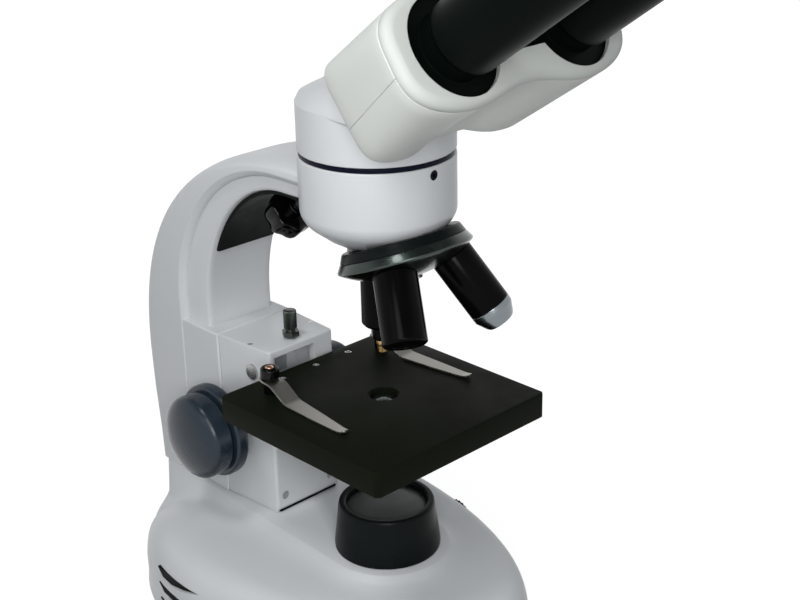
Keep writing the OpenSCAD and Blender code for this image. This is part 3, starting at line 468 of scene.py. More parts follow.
def bow(y, z, a, b, power=1.0, parts=56):
    angles = [math.radians(90 - 90 * i / parts) for i in range(parts + 1)]
    return [(y + a * max(0, math.cos(t)) ** power, z + b * max(0, math.sin(t)) ** power) for t in angles]


def arch_line(grow):
    return ([(25, arch_z + arch_b + grow)]
            + bow(arch_y, arch_z, arm_front - arch_y + grow, arch_b + grow)
            + [(arm_front + grow, z) for z in (120, 95, 72, tongue_h)])


def band_line(grow):
    return ([(25, arch_z + band_b + grow)] + bow(arch_y, arch_z, band_a + grow, band_b + grow)
            + [(arch_y + band_a + grow, z) for z in (120, 95, 72, tongue_h)])


def spine_line(d):
    return ([(25, spine_z + spine_b - d)] + bow(spine_y, spine_z, arm_back - spine_y - d, spine_b - d, 0.89)
            + [(arm_back - lean - d, z) for lean, z in ((0.4, 108), (1, 95), (3, 72), (4, tongue_h))])


def arm_ring(turn, line, side):
    a = math.radians(turn)
    x = side * (arm_half_w - corner_w + corner_w * math.sin(a))
    return [(x, y, z) for y, z in line + spine_line(corner_d * (1 - math.cos(a)))[::-1]]


step_turn = math.degrees(math.asin((web_half_w - arm_half_w + corner_w) / corner_w))


def arm_half(side):
    band = []
    for turn in (90, 82, 74, 67, 61, 56, 52, step_turn + 0.5):
        rise = (math.sin(math.radians(turn)) - math.sin(math.radians(step_turn))) \
            / (1 - math.sin(math.radians(step_turn)))
        band.append(arm_ring(turn, band_line(3.2 * rise ** 2.2), side))
    web = [arm_ring(step_turn, arch_line(2), side), arm_ring(step_turn - 1.4, arch_line(1.3), side),
           arm_ring(step_turn - 4, arch_line(0.6), side), arm_ring(step_turn - 9, arch_line(0.15), side)]
    return band + web + [arm_ring(turn, arch_line(0), side) for turn in (34, 25, 15, 5)]


def strip_loft(name, rings, place, sharp):
    # As loft, with each end closed by rungs between its two halves
    points, faces, n, last = skin(rings)
    for i in range(n // 2 - 1):
        rung = (i, i + 1, n - 2 - i, n - 1 - i)
        faces += [rung[::-1], tuple(last + k for k in rung)]
    return shape(name, points, faces, place, sharp)


def on_clamp():
    return on_axis(0, 66, stage_top + 76.5) @ Matrix.Rotation(math.radians(50), 4, "X")


arm = strip_loft("arm_casting", arm_half(-1) + arm_half(1)[::-1], on_axis(), 30)
cut(arm, rod(ring_r + 0.1, 100, 400, on_axis(), steps=192), rod(3.25, 0, 56, on_clamp()), sharp=30)
saddle = block((-24.6, 24.6), (99.3, 130), (tongue_h, stage_top + 9.5), on_axis())
saddle.name = "arm_saddle"
round_edges(saddle, 0.8)
fit_out(arm, white_enamel, "stand", "white_paint", "arm")
fit_out(saddle, white_enamel, "stand", "white_paint", "arm")

# ---- Arch lining ----
# A smooth black moulding is clipped to the underside of the arch. It follows the arch
# down and ends in a straight edge.
cover_low, cover_half_w = stage_top + 53, web_half_w - 3


def arch_arc(inset):
    return [(arch_y + (arm_front - arch_y - inset) * math.cos(t), arch_z + (arch_b - inset) * math.sin(t))
            for t in (math.radians(turn) for turn in range(20, 99))]


lining_line = arch_arc(0.15) + arch_arc(2.0)[::-1]
lining = loft("arch_lining", [[(x, y, z) for y, z in lining_line] for x in (-cover_half_w, cover_half_w)],
              on_axis(), sharp=20)
cut(lining, block((-60, 60), (30, 140), (0, cover_low), on_axis()),
    rod(ring_r + 0.3, 100, 400, on_axis(), steps=128), rod(4.2, -5, 56, on_clamp()), sharp=20)
fit_out(round_edges(lining, 0.35), black_moulding, "stand", "black_plastic", "arch_cover")

# ---- Head clamp ----
# A glossy black lobed knob under the arch. Its steel screw runs slanting up through
# the ring and locks the head.


def lobed(radius, lobes, bulge, steps=168):
    ring = []
    for k in range(steps):
        a = 2 * math.pi * k / steps
        r = radius + bulge * math.cos(lobes * a)
        ring.append((r * math.cos(a), r * math.sin(a)))
    return ring


def swell(name, outline, levels, place, sharp=40):
    # A stack of the same outline, scaled level by level
    return loft(name, [[(x * s, y * s, z) for x, y in outline] for z, s in levels], place, sharp)


gloss_moulding = moulding("gloss black moulding", (0.002, 0.002, 0.0022), smooth=0.05, rough=0.09, grain=300.0,
                          relief=0.01, specular=0.17)
knob_levels = [(-8, 0.04), (-7.95, 0.25), (-7.7, 0.46), (-7.2, 0.62), (-6.4, 0.75), (-5.3, 0.86), (-4, 0.935),
               (-2.5, 0.98), (-1, 1), (4.2, 1), (5.4, 0.975), (6.1, 0.93), (6.45, 0.87), (6.5, 0.8)]
clamp_knob = swell("clamp_knob", lobed(11.4, 7, 0.6), knob_levels, on_clamp(), sharp=60)
fit_out(clamp_knob, gloss_moulding, "clamp_knob", "gloss_black_plastic", "head_clamp_knob")
clamp_screw = turned("clamp_screw", [(0, 6), (5, 6), (5, 11.4), (3.2, 11.6), (3.2, 55), (0, 55)], on_clamp())
fit_out(clamp_screw, gloss_moulding, "clamp_knob", "gloss_black_plastic", "head_clamp_knob")

# ---- Focus block ----
# A milled aluminium block in front of the arm, painted white, which holds the
# slideway. Two screws show in its foot, and plugs close the drillings of its gib.
# A black strip in a step along its front lower edge is a painted shadow: it stands
# for the dark shadow gap under the block.
block_front, block_top = 61, stage_top + 9.5
shaft_y, shaft_z = 91, stage_top - 38
way_low, way_high, window_low = tongue_h + 8, block_top - 3.8, stage_top - 41
block_line = [(-20.3, 61), (20.3, 61), (21.3, 62), (23.8, 99.2), (-23.8, 99.2), (-21.3, 62)]
focus_block = prism("focus_block", block_line, tongue_h + 0.2, block_top, on_axis())
along_x = Matrix.Rotation(math.radians(90), 4, "Y")
to_front = Matrix.Rotation(math.radians(90), 4, "X")
cut(round_edges(focus_block, 0.9),
    block((-19.2, 14), (65, 83.5), (way_low, way_high), on_axis()),
    block((-18, 8.5), (60, 67), (window_low, way_high), on_axis()),
    block((-8, 8), (82.5, 93.5), (way_low, way_high), on_axis()),
    block((-30, 30), (60, 62), (51, 54.6), on_axis()),
    block((-19.6, 19.6), (60, 62.4), (tongue_h, tongue_h + 1.1), on_axis()),
    rod(4.05, -40, 40, on_axis(0, shaft_y, shaft_z) @ along_x),
    rod(7.5, -8, 8, on_axis(0, shaft_y, shaft_z) @ along_x),
    rod(2.55, -10, 10, on_axis(0, 69, block_top)),
    *[rod(2.25, -3.8, 4, on_axis(x, block_front, tongue_h + 9) @ to_front) for x in (-15.5, 15.5)],
    *[rod(4.25, 0, 10, on_axis(x, 74.3, stage_top - 4.5) @ along_x) for x in (-25.2, 15.2)],
    *[rod(1.55, -4, 4, on_axis(side * 20, 77.3, block_top)) for side in (-1, 1)])
fit_out(focus_block, white_enamel, "stand", "white_paint", "focus_block")
# Painted shadow: a black strip in the step, standing for the dark shadow gap under the block's front
foot_strip = block((-19.4, 19.4), (61.25, 62.3), (tongue_h + 0.25, tongue_h + 1.05), on_axis())
foot_strip.name = "foot_strip"
fit_out(round_edges(foot_strip, 0.15), black_moulding, "stand", "black_plastic")
dress(bright_steel, "block_screws")

# ---- Stop screw ----
# A small steel screw with a locknut and a knurled head. It keeps the stage short of
# the objectives.


def knurled(radius, ridges, depth, steps):
    ring = []
    for k in range(ridges * steps):
        a = 2 * math.pi * k / (ridges * steps)
        dip = depth * (0.5 + 0.5 * math.cos(ridges * a))
        ring.append(((radius - dip) * math.cos(a), (radius - dip) * math.sin(a)))
    return ring


dull_steel = metal("dull steel", (0.085, 0.098, 0.088), smooth=0.28, rough=0.42)
on_stop = on_axis(0, 69, block_top)
stop_head = swell("stop_head", knurled(3.42, 30, 0.28, 6),
                  [(5, 0.9), (5.4, 0.99), (5.8, 1), (14.2, 1), (14.7, 0.98), (15, 0.88)], on_stop, sharp=50)
lock_nut = prism("lock_nut", [(4.6 * math.cos(math.radians(60 * k)), 4.6 * math.sin(math.radians(60 * k)))
                              for k in range(6)], 1, 3.6, on_stop)
shank = turned("stop_shank", [(0, -3.2), (2.5, -3.2), (2.5, 5.8), (0, 5.8)], on_stop, radius=0.1)
stop = join("stop_screw", [stop_head, round_edges(lock_nut, 0.2), shank])
smooth_faces(stop.data, 50)
fit_out(stop, dull_steel, "stop", "steel", "stop_screw")

# ---- Stage ----
# A thick square plate with a black anodised face, screwed to a painted bracket that
# runs on the slideway. The beam comes up through a lens below the opening.
stage_low, stage_half, corner_at = stage_top - 12.8, 56, 54.02
plate_line = [(sx * a, sy * b) for sx, sy, flip in ((1, 1, 0), (-1, 1, 1), (-1, -1, 0), (1, -1, 1))
              for a, b in ([(stage_half, corner_at), (corner_at, stage_half)][::-1 if flip else 1])]
plate = prism("stage_plate", [(x - 1, y + 0.3) for x, y in plate_line], stage_low, stage_top, on_axis())
cut(round_edges(plate, 0.6, angle=30),
    rod(6.8, stage_low - 1, stage_top + 1, on_axis(), 96),
    rod(7.6, stage_top - 0.6, stage_top + 1, on_axis(), 96),
    rod(8.8, stage_low - 1, stage_top - 5.4, on_axis(), 96),
    *[rod(2.05, stage_top - 6, stage_top + 1, on_axis(x, 50)) for x in (-22, 0, 22)],
    *[rod(2.05, stage_top - 9, stage_top + 1, on_axis(x, 41)) for x in (-37, 37)])
anodised = enamel("black anodised face", (0.0058, 0.0072, 0.0040), (0.0095, 0.0112, 0.0070),
                  smooth=0.36, rough=0.5, coat=0.0, specular=0.02)
fit_out(plate, anodised, "stage", "black_paint", "stage_plate")
screw_line = [(0, -5.9), (2, -5.9), (2, -0.35), (1.15, -0.3), (1.0, -1.6), (0, -1.6)]
stage_screws = join("stage_screws", [
    turned("screw", screw_line, on_axis(x, 50, stage_top), radius=0.12, steps=48) for x in (-22, 0, 22)])
smooth_faces(stage_screws.data, 40)
fit_out(stage_screws, bright_steel, "stage", "steel", "stage_screws")
dress(white_enamel, "stage_slide")
dress(bright_steel, "rack", "pinion_shaft", "fine_shaft")
dress(satin_black, "condenser_mount", "disc_diaphragm")


def optical_glass(name, face_on, slanted, clear):
    # Coated glass: a faint cool cast that strengthens at a slant
    material, shader = finish_with(name, specular=0.35)
    shader.inputs["Transmission Weight"].default_value = clear
    shader.inputs["IOR"].default_value = 1.5
    facing = wire(material, "LayerWeight", ("Blend", 0.35))
    cast = wire(material, "Mix", (0, facing.outputs["Facing"]), (6, (*face_on, 1)), (7, (*slanted, 1)),
                data_type="RGBA")
    drive(material, shader, "Base Color", cast.outputs[2])
    where = wire(material, "TexCoord").outputs["Object"]
    dust = wire(material, "TexNoise", ("Vector", where), ("Scale", 240.0), ("Detail", 5.0))
    haze = wire(material, "MapRange", (0, dust.outputs[0]), (1, 0.45), (2, 0.8), (3, 0.03), (4, 0.14))
    drive(material, shader, "Roughness", haze.outputs[0])
    return material


clear_glass = optical_glass("optical glass", (0.20, 0.23, 0.23), (0.16, 0.20, 0.25), 0.9)
# The condenser lens gets a dark copy of the optical glass: painted shade for the shade it lies in inside the
# stage opening
dress(optical_glass("condenser glass", (0.020, 0.030, 0.028), (0.03, 0.04, 0.05), 0.5), "condenser_lens")

# ---- Slide clips ----
# Two blades of brushed spring steel, bent down to the stage, turn on posts in the
# plate. Each post has a black knob with a copper rivet in it.
clip_rows = [(-5, 6.4, 2.4), (-4.6, 6.4, 3.4), (-3.4, 6.4, 4.2), (-1, 6.4, 4.55), (4.6, 6.4, 4.8),
             (5.6, 6.3, 4.8), (7.2, 5.9, 4.8), (16.8, 1.05, 4.7), (18, 0.68, 4.65), (19.6, 0.5, 4.6),
             (40, 0.35, 3.6), (54, 0.3, 2.6), (57, 0.55, 2.3), (58.8, 1.1, 1.95), (59.6, 1.4, 1.6),
             (60, 1.6, 1.0)]
clip_t, edge_t = 0.9, 0.14


def brushed():
    # Rolled strip: fine lines along the blade, and a warm cast
    material, shader = finish_with("brushed spring steel", metallic=1.0)
    where = wire(material, "TexCoord").outputs["Object"]
    stretch = wire(material, "Mapping", (0, where), (3, (2600.0, 60.0, 60.0)))
    lines = wire(material, "TexNoise", ("Vector", stretch.outputs[0]), ("Scale", 1.0), ("Detail", 3.0))
    mottle(material, shader, lines, (0.29, 0.285, 0.26), (0.42, 0.41, 0.38), 0.30, 0.44)
    bump = wire(material, "Bump", ("Strength", 0.1), ("Distance", 0.0001), ("Height", lines.outputs[0]))
    drive(material, shader, "Normal", bump.outputs[0])
    return material


spring_steel = brushed()
copper = metal("copper rivet", (0.80, 0.46, 0.33), smooth=0.25, rough=0.4)


def blade_ring(along, z, w):
    corner = [(-w, z + edge_t), (-w, z + clip_t - edge_t), (edge_t - w, z + clip_t), (w - edge_t, z + clip_t),
              (w, z + clip_t - edge_t), (w, z + edge_t), (w - edge_t, z), (edge_t - w, z)]
    return [(x, -along, h) for x, h in corner]


for side, name in ((-1, "left"), (1, "right")):
    on_clip = on_axis(side * 37, 41, stage_top) @ Matrix.Rotation(math.radians(side * 4.2), 4, "Z")
    blade = loft("clip_blade", [blade_ring(*row) for row in clip_rows], on_clip, sharp=24)
    cut(blade, rod(2.02, 4, 10, on_clip, 32), sharp=24)
    fit_out(blade, spring_steel, "clip_" + name, "clip_steel", "clip_blade_" + name)
    clip_knob = turned("clip_knob", [(0, -8.5), (2, -8.5), (2, 0.3), (3.4, 0.3), (3.4, 6.3), (2, 6.3), (2, 7.4),
                                     (3.2, 7.4), (3.2, 8), (4.5, 8), (4.9, 9), (4.6, 13), (3.9, 13.8),
                                     (2.2, 13.9), (2.2, 13.2), (0, 13.2)], on_clip, radius=0.3)
    fit_out(clip_knob, gloss_moulding, "clip_" + name, "black_plastic", "clip_knob_" + name)
    rivet_line = [(0, 13.2), (2.1, 13.2), (2.1, 13.9), (1.6, 14.3), (0, 14.5)]
    rivet = turned("clip_rivet", rivet_line, on_clip, radius=0.2)
    fit_out(rivet, copper, "clip_" + name, "brass", "clip_knob_" + name)

# ---- Focus knobs ----
# Slate blue mouldings on both ends of the pinion shaft: a wide coarse knob, and a
# domed fine knob outside it on its own shaft.
slate = moulding("slate blue moulding", (0.018, 0.029, 0.042), smooth=0.22, rough=0.32, grain=800.0,
                 relief=0.03, specular=0.3)
coarse_line = [(4, 29), (12, 29), (13.5, 31.4), (21.8, 32), (24.4, 33.4), (24.8, 35), (24.8, 39), (23.8, 40),
               (4, 40)]
dome_line = [(22.2 * math.cos(math.radians(a)), 49 + 8 * math.sin(math.radians(a))) for a in range(0, 88, 4)]
fine_line = [(2.2, 40.5), (21, 40.5), (22.2, 41.7), *dome_line, (0, 57), (0, 43.5), (2.2, 43.5)]
for side, name in ((-1, "left"), (1, "right")):
    on_shaft = on_axis(0, shaft_y, shaft_z) @ Matrix.Rotation(math.radians(90 * side), 4, "Y")
    fit_out(turned("coarse_knob", coarse_line, on_shaft, radius=0.6, steps=192), slate, "coarse",
            "slate_plastic", "coarse_knob_" + name)
    fit_out(turned("fine_knob", fine_line, on_shaft, radius=0.5, steps=192), slate, "fine",
            "slate_plastic", "fine_knob_" + name)

# ---- Head ring ----
# The turned ring at the end of the arm, painted white. It narrows below to a stem
# that holds the nosepiece. A navy seam ring lies on it, and a set screw is in its front.
ring_low, ring_high, seam_high = stage_top + 96, stage_top + 122.4, stage_top + 124.6
apex_z = stage_top + 119.5
tilt = Matrix.Rotation(math.radians(-21.5), 4, "X")
on_turret = on_axis(0, 0, apex_z) @ tilt


def on_objective(k):
    return on_turret @ Matrix.Rotation(math.radians(120 * k), 4, "Z") @ tilt.inverted()


ring_line = [(ring_r, ring_high), (ring_r, ring_low), (36, ring_low - 1.6), (35.4, ring_low - 3),
             (34.3, ring_low - 4.8), (32.8, ring_low - 6.4), (24.7, ring_low - 12.6), (16.6, ring_low - 17.2),
             (15.2, ring_low - 18.2), (15.2, ring_low - 28), (9, ring_low - 28), (9, stage_top + 113),
             (22.05, stage_top + 113), (22.05, ring_high)]
head_ring = turned("head_ring", ring_line, on_axis(), radius=0.9, steps=256, sharp=30)
cut(head_ring, rod(40.5, -68.3, -38.3, on_turret, 96), rod(3.25, -2, 57, on_clamp()),
    rod(2.35, -40, -10, on_axis(0, 0, stage_top + 118.3) @ Matrix.Rotation(math.radians(-90), 4, "X")),
    sharp=30)
fit_out(head_ring, white_enamel, "stand", "white_paint", "head_ring")
navy = enamel("navy enamel", (0.0022, 0.0035, 0.011), (0.0035, 0.0055, 0.016), smooth=0.22, rough=0.34,
              coat=0.0, specular=0.06)
seam_ring = turned("seam_ring", [(22.05, ring_high + 0.05), (35.9, ring_high + 0.05), (35.9, seam_high),
                                 (22.05, seam_high)], on_axis(), radius=0.3, steps=256)
fit_out(seam_ring, navy, "stand", "navy_paint", "seam_ring")
dress(navy, "head_set_screw")

# ---- Nosepiece ----
# A black fixed plate on the stem carries a domed turret, turned from brass and plated.
# Its metal colour is painted very dark, a painted reflection of the dark room it mirrors.
# It runs on a centre bolt, which a slotted steel cap closes.
fixed_plate = turned("nosepiece_plate", [(3.05, -42.5), (29.9, -42.5), (28.3, -39), (27.7, -38.3),
                                         (3.05, -38.3)], on_turret, radius=0.25, steps=192)
cut(fixed_plate, rod(8, apex_z - 60, apex_z, on_axis()))
fit_out(fixed_plate, gloss_black_paint, "stand", "black_paint", "nosepiece_mount")
# Painted reflection: a near-black metal colour stands in for the dark room the plated turret mirrors
dark_chrome = metal("dark chrome", (0.036, 0.048, 0.043), smooth=0.24, rough=0.34, lines=1800.0, relief=0.03,
                    coat=0.4)
dome = [(57 * math.sin(math.radians(a)), -57 * math.cos(math.radians(a))) for a in np.arange(33, 5, -1.5)]
turret_line = [(3.05, -42.6), (29.9, -42.6), (30.3, -43.1), (32.2, -46.2), (32.1, -47), *dome, (3.05, -56.9)]
turret = turned("turret", turret_line, on_turret, radius=0.3, steps=256, sharp=30)
cut(turret, *[rod(11.4, -64.2, -56.2, on_objective(k), 96) for k in range(3)],
    *[rod(9.02, -57.2, -27.2, on_objective(k), 96) for k in range(3)], sharp=30)
fit_out(turret, dark_chrome, "turret", "dark_chrome", "turret")
cap_line = [(0, -38.7), (3, -38.7), (3, -57.1), (5.4, -57.1), (5.2, -58.2), (2, -58.8), (2, -58), (0, -58)]
cap = turned("turret_cap", cap_line, on_turret, radius=0.25)
fit_out(cap, bright_steel, "turret", "steel", "turret_cap")

# ---- Objectives ----
# Three turned brass barrels, screwed into the turret: the low and middle powers in
# glossy black lacquer, the middle one with a chrome nose, the high power in use.


def lacquer():
    # Baked on brass: glossy, and thinner at the edges
    material, shader = finish_with("black lacquer", specular=0.04)
    where = wire(material, "TexCoord").outputs["Object"]
    cloud = wire(material, "TexNoise", ("Vector", where), ("Scale", 60.0), ("Detail", 4.0))
    mottle(material, shader, cloud, (0.0020, 0.0018, 0.0018), (0.0036, 0.0032, 0.0031), 0.13, 0.20)
    soft = wire(material, "Bevel", ("Radius", 0.0003), samples=4)
    bump = wire(material, "Bump", ("Strength", 0.03), ("Distance", 0.0001), ("Height", cloud.outputs[0]),
                ("Normal", soft.outputs[0]))
    drive(material, shader, "Normal", bump.outputs[0])
    return material


black_lacquer = lacquer()
# Painted reflection: the chrome's colour is set far darker than plated chrome, standing for the darker
# surroundings the nose mirrors
satin_chrome = metal("satin chrome", (0.22, 0.245, 0.262), smooth=0.22, rough=0.30, relief=0.01)
turned_brass = metal("turned brass", (0.50, 0.33, 0.14), smooth=0.14, rough=0.24)
barrel_r, seat_at, shank_at = 10.2, 56.2, 51.2


def barrel(name, k, profile, inner=6):
    line = [(inner, -shank_at), (9, -shank_at), (9, -seat_at - 0.05)] + profile + [(inner, profile[-1][1])]
    return turned(name, line, on_objective(k), radius=0.3, steps=160)


low_power = barrel("objective_low", 1, [(barrel_r, -56.25), (barrel_r, -87.8), (9.4, -88.6)])
mid_power = barrel("objective_mid", 2, [(barrel_r, -56.25), (barrel_r, -86.4)])
high_power = barrel("objective_high", 0, [(9.6, -56.25), (9.6, -80.9), (8.2, -82.5)], inner=4.65)
for power, node in ((low_power, "objective_low"), (mid_power, "objective_mid"),
                    (high_power, "objective_high")):
    fit_out(power, black_lacquer, "turret", "black_lacquer", node)
mid_nose = turned("objective_mid_nose", [(3.2, -82.5), (5.9, -82.5), (5.9, -86.5), (barrel_r, -86.5),
                                         (10.1, -89.5), (7.6, -94.4), (6.6, -95.6), (5.6, -96), (3.2, -96)],
                  on_objective(2), radius=0.3, steps=160)
fit_out(mid_nose, satin_chrome, "turret", "satin_chrome", "objective_mid_nose")
sleeve_line = [(0, -64.2), (4.6, -64.2), (4.6, -89.3), (3.7, -90.1), (0, -90.1)]
high_sleeve = turned("objective_high_sleeve", sleeve_line, on_objective(0), radius=0.2, steps=128)
fit_out(high_sleeve, black_lacquer, "nose", "black_lacquer", "objective_high_nose")
high_tip = turned("objective_high_tip", [(0, -90), (2.8, -90), (2.8, -92.6), (2.2, -93.2), (2.3, -96.4),
                                         (2, -97), (1.2, -97), (1.2, -96.5), (0, -96.3)],
                  on_objective(0), radius=0.15, steps=128)
fit_out(high_tip, turned_brass, "nose", "brass", "objective_high_nose")
dress(clear_glass, "objective_lenses")

# ---- Binocular head ----
# A neck turns in the ring and leans into the body, which is two cast shells joined
# along a fine seam. A moulded face closes it, with two round windows and a slot.
dress(white_enamel, "head_neck")
on_face = on_axis(0, -82.1, stage_top + 188.2) @ Matrix.Rotation(math.radians(55), 4, "X")
eye_x = 34


def on_eye(side):
    return on_face @ Matrix.Translation((side * eye_x * mm, 0, 0))


def signed_power(a, e):
    return math.copysign(abs(a) ** e, a)


def head_outline(share, inset, n=240):
    line = []
    for i in range(n):
        t = 2 * math.pi * (i + 0.5) / n
        low = math.sin(t) < 0
        e = mix(0.62, 0.34, share) if low else mix(0.615, 0.31, share)
        x = (mix(65, 48.5, share) - inset) * signed_power(math.cos(t), e)
        hollow = (mix(7, 8, share) + 20 * share * (1 - share)) * math.exp(-x * x / mix(560, 300, share))
        reach = mix(27.6, 25.3, share) - inset - hollow if low else mix(27.3, 26.2, share) - inset
        line.append((x, signed_power(math.sin(t), e) * reach))
    return line


def head_level(d, inset, share):
    return [(x, v, d - 0.067 * share * share * v) for x, v in head_outline(share, inset)]


# The shells' ivory enamel is painted much lighter than the stand's white enamel, a painted highlight for the
# light on the head's flanks. The face has a darker copy of the same ivory: painted shade.
lit_shell_enamel = enamel("ivory enamel", (0.82, 0.857, 0.82), (0.87, 0.907, 0.87), smooth=0.4,
                      rough=0.52, coat=0.0, specular=0.11)
shaded_face_enamel = enamel("face enamel", (0.68, 0.713, 0.685), (0.73, 0.765, 0.735), smooth=0.4,
                     rough=0.52, coat=0.0, specular=0.08)
body_levels = [(-62, 1.6, 1), (-61.6, 0.9, 0.993), (-60.8, 0.5, 0.98), (-59.8, 0.2, 0.96), (-58.8, 0, 0.94),
               (-52, 0, 0.82), (-46, 0, 0.715), (-39.5, 0, 0.6), (-33, 0, 0.485), (-26.5, 0, 0.37),
               (-20, 0, 0.255), (-12.5, 0, 0.12), (-6.1, 0, 0.01), (-5.75, 0.15, 0), (-5.65, 0.5, 0)]
for name, low, high in (("shell_lower", -100, -6.08), ("shell_upper", -5.92, 100)):
    shell = loft(name, [head_level(*row) for row in body_levels], on_face, sharp=38)
    away = block((-100, 100), (high, 200) if high < 50 else (-200, low), (-100, 100), on_face)
    cut(shell, away, prism("cutter", head_outline(0, 2.6, 120), -11, 2, on_face), sharp=38)
    fit_out(round_edges(shell, 0.25, steps=2, angle=60), lit_shell_enamel, "head", "white_paint", name)

face_levels = [(-5.5, 0.5, 0), (-5.4, 0.15, 0), (-5.1, 0, 0), (-3.8, 0, 0)]
face_levels += [(-3.8 + 3.8 * math.sin(math.radians(a)), 3.8 - 3.8 * math.cos(math.radians(a)), 0)
                for a in (12, 24, 36, 48, 60, 72, 82, 90)]
face = loft("head_face", [head_level(*row) for row in face_levels], on_face, sharp=38)


def wide_hole(radius, near, far):
    right = [(far + radius * math.cos(a), radius * math.sin(a)) for a in np.radians(np.arange(-90, 91, 3))]
    left = [(near + radius * math.cos(a), radius * math.sin(a)) for a in np.radians(np.arange(90, 271, 3))]
    return right + left


tools = []
for side in (-1, 1):
    line = [(side * x, y) for x, y in wide_hole(23.5, 28.2, 37.8)]
    tools += [rod(22, -20, 20, on_eye(side), 160),
              prism("cutter", line if side > 0 else line[::-1], -20, -2.2, on_face)]
cut(face, *tools, block((-eye_x, eye_x), (-8, 8), (-20, 20), on_face), sharp=38)
fit_out(face, shaded_face_enamel, "head", "white_paint", "head_face")
dress(satin_black, "slide_backing")

# ---- Eyepiece tubes ----
# Two black painted tubes on round carriers that slide behind the windows. One has a
# focusing ring. The eyepieces drop in, and have soft guards and coated eye lenses.
tube_r = 16.4
tube_foot = [(10, -4.4), (23.2, -4.4), (23.2, -2.4), (15.2, -2.4), (15.2, 5.3), (tube_r, 7.3)]
tube_bore = [(11.65, 80), (11.65, 52), (10, 52)]
tube_ends = {-1: [(tube_r, 67.8), (14.4, 67.8), (14.4, 80)], 1: [(tube_r, 79.4), (15.8, 80)]}
eyepiece_line = [(9, 54), (11.6, 54), (11.6, 80.05), (16, 80.05), (16.4, 80.6), (16.4, 84), (15.4, 85),
                 (15.4, 87), (17.2, 93), (17.6, 95), (17.6, 100.5), (16.4, 102), (15, 102), (13.4, 98.6),
                 (10.5, 98.6), (10.5, 95), (9, 95)]
lens_curve = [(r, 98.2 - 0.012 * r * r) for r in (10.4, 9, 7.5, 6, 4.5, 3, 1.5, 0)]
tube_black = enamel("tube black", (0.0014, 0.0030, 0.0025), (0.0028, 0.0046, 0.0040), smooth=0.3, rough=0.42,
                    coat=0.0, specular=0.03)
for side, name in ((-1, "left"), (1, "right")):
    fit_out(turned("eye_tube", tube_foot + tube_ends[side] + tube_bore, on_eye(side), radius=0.25, steps=192),
            tube_black, "tube_" + name, "black_paint", "tube_" + name)
    fit_out(turned("eyepiece", eyepiece_line, on_eye(side), radius=0.5, steps=160), black_moulding,
            "tube_" + name, "black_plastic", "eyepiece_" + name)
    fit_out(turned("eye_lens", [(0, 95.1), (10.4, 95.1)] + lens_curve, on_eye(side), radius=0, steps=128),
            clear_glass, "tube_" + name, "lens_glass", "eye_lens_" + name)
dioptre = swell("dioptre_ring", knurled(17.3, 60, 0.35, 6), [(68, 0.97), (68.4, 1), (79.2, 1), (79.7, 0.97)],
                on_eye(-1), sharp=50)
cut(dioptre, rod(14.45, 60, 90, on_eye(-1), 128), sharp=50)
fit_out(dioptre, black_moulding, "dioptre", "black_plastic", "dioptre_ring")

# ---- Camera, light and floor ----
# The camera stands in front, to the left and above the stage. Four soft lamps and a
# pale surround light the instrument, which stands on a plain pale floor.


def point_camera(azimuth, pitch, roll, place, lens):
    a, e, r = (math.radians(v) for v in (azimuth, pitch, roll))
    back = Vector((math.sin(a) * math.cos(e), -math.cos(a) * math.cos(e), math.sin(e)))
    right = Vector((math.cos(a), math.sin(a), 0))
    up = back.cross(right)
    right, up = math.cos(r) * right + math.sin(r) * up, math.cos(r) * up - math.sin(r) * right
    data = bpy.data.cameras.new("camera")
    data.lens, data.sensor_width, data.clip_start, data.clip_end = lens, 36, 0.02, 50
    camera = bpy.data.objects.new("camera", data)
    camera.matrix_world = Matrix.Translation(place) @ Matrix((right, up, back)).transposed().to_4x4()
    bpy.context.scene.collection.objects.link(camera)
    bpy.context.scene.camera = camera


point_camera(-43.65, 22.3, -1.29, (-0.4284, axis_y - 0.462, (stage_top + 307.4) * mm), 64.88)


lamp_aim = Vector((0, 0, 0.25))


def lamp(name, place, size, power):
    data = bpy.data.lights.new(name, "AREA")
    data.shape, data.size, data.energy = "DISK", size, power
    light = bpy.data.objects.new(name, data)
    light.location = place
    light.rotation_mode = "QUATERNION"
    light.rotation_quaternion = (lamp_aim - Vector(place)).to_track_quat("-Z", "Y")
    bpy.context.scene.collection.objects.link(light)


lamp("key_box", (-0.47, -0.51, 0.43), 0.3, 2.55)
lamp("near_box", (-0.45, -0.20, 0.55), 0.25, 0.8)
lamp("side_box", (-1.15, 0.1, 0.7), 0.5, 0.4)
lamp("top_lamp", (-0.47, 0.04, 1.1), 0.26, 2.1)

world = bpy.data.worlds.new("surround")
bpy.context.scene.world = world
world.use_nodes = True


def seen_by_eye(owner):
    # One where the eye, a reflection or a lens looks straight at the surface
    path = wire(owner, "LightPath").outputs
    total = path["Is Camera Ray"]
    for ray in ("Is Glossy Ray", "Is Transmission Ray"):
        total = wire(owner, "Math", (0, total), (1, path[ray]), operation="MAXIMUM").outputs[0]
    return total


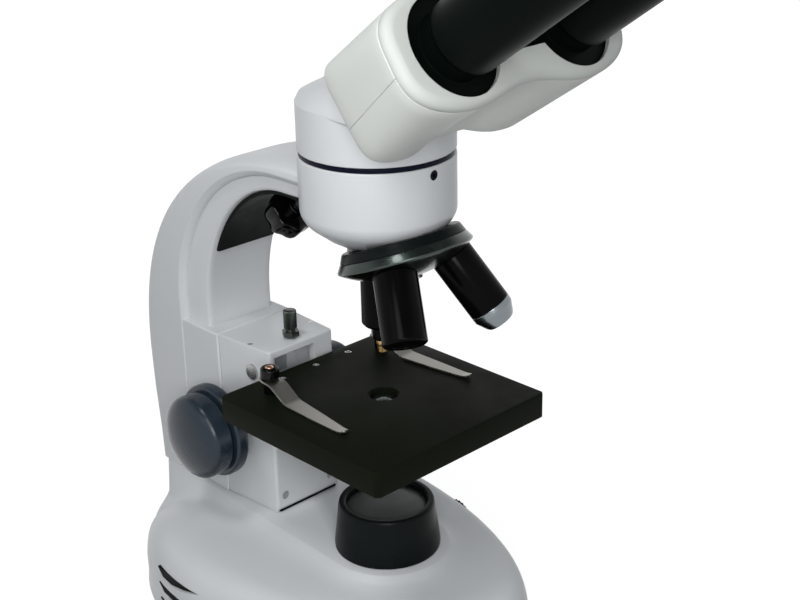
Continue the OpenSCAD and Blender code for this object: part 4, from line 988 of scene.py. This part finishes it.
# White walls and a darker ceiling show in bright metal. The pale room lights the far
# side a little more than the near one.
toward = wire(world, "TexCoord").outputs["Generated"]
height = wire(world, "SeparateXYZ", (0, toward)).outputs["Z"]
ceiling = wire(world, "MapRange", (0, height), (1, 0.48), (2, 0.72), (3, 1.0), (4, 0.2))
backdrop = wire(world, "Background", ("Color", (1, 1, 1, 1)), ("Strength", ceiling.outputs[0]))
across = wire(world, "VectorMath", (0, toward), (1, (0.8, 0.6, 0)), operation="DOT_PRODUCT")
room = wire(world, "MapRange", (0, across.outputs["Value"]), (1, 0.25), (2, 0.95), (3, 0.12), (4, 0.62))
ambient = world.node_tree.nodes["Background"]
ambient.inputs["Color"].default_value = (0.94, 0.97, 1.0, 1)
drive(world, ambient, "Strength", room.outputs[0])
both = wire(world, "MixShader", (0, seen_by_eye(world)), (1, ambient.outputs[0]), (2, backdrop.outputs[0]))
drive(world, world.node_tree.nodes["World Output"], "Surface", both.outputs[0])

# The floor takes the shadow, and is white where the eye sees it
floor_mesh = bpy.data.meshes.new("floor")
floor_mesh.from_pydata([(-12, -12, 0), (12, -12, 0), (12, 12, 0), (-12, 12, 0)], [], [(0, 1, 2, 3)])
floor = bpy.data.objects.new("floor", floor_mesh)
bpy.context.scene.collection.objects.link(floor)
pale, matte = finish_with("pale floor")
matte.inputs["Base Color"].default_value = (0.22, 0.22, 0.22, 1)
matte.inputs["Roughness"].default_value = 0.9
away = wire(pale, "VectorMath", (0, wire(pale, "TexCoord").outputs["Object"]), operation="LENGTH")
brighter = wire(pale, "MapRange", (0, away.outputs["Value"]), (1, 0.25), (2, 0.9), (3, 0.92), (4, 1.0))
glow = wire(pale, "Emission", ("Strength", brighter.outputs[0]))
dark = wire(pale, "Emission", ("Strength", 0.0))
seen = wire(pale, "MixShader", (0, seen_by_eye(pale)), (1, dark.outputs[0]), (2, glow.outputs[0]))
lit = wire(pale, "AddShader", (0, matte.outputs[0]), (1, seen.outputs[0]))
drive(pale, pale.node_tree.nodes["Material Output"], "Surface", lit.outputs[0])
floor_mesh.materials.append(pale)

bpy.context.scene.view_settings.view_transform = "Standard"
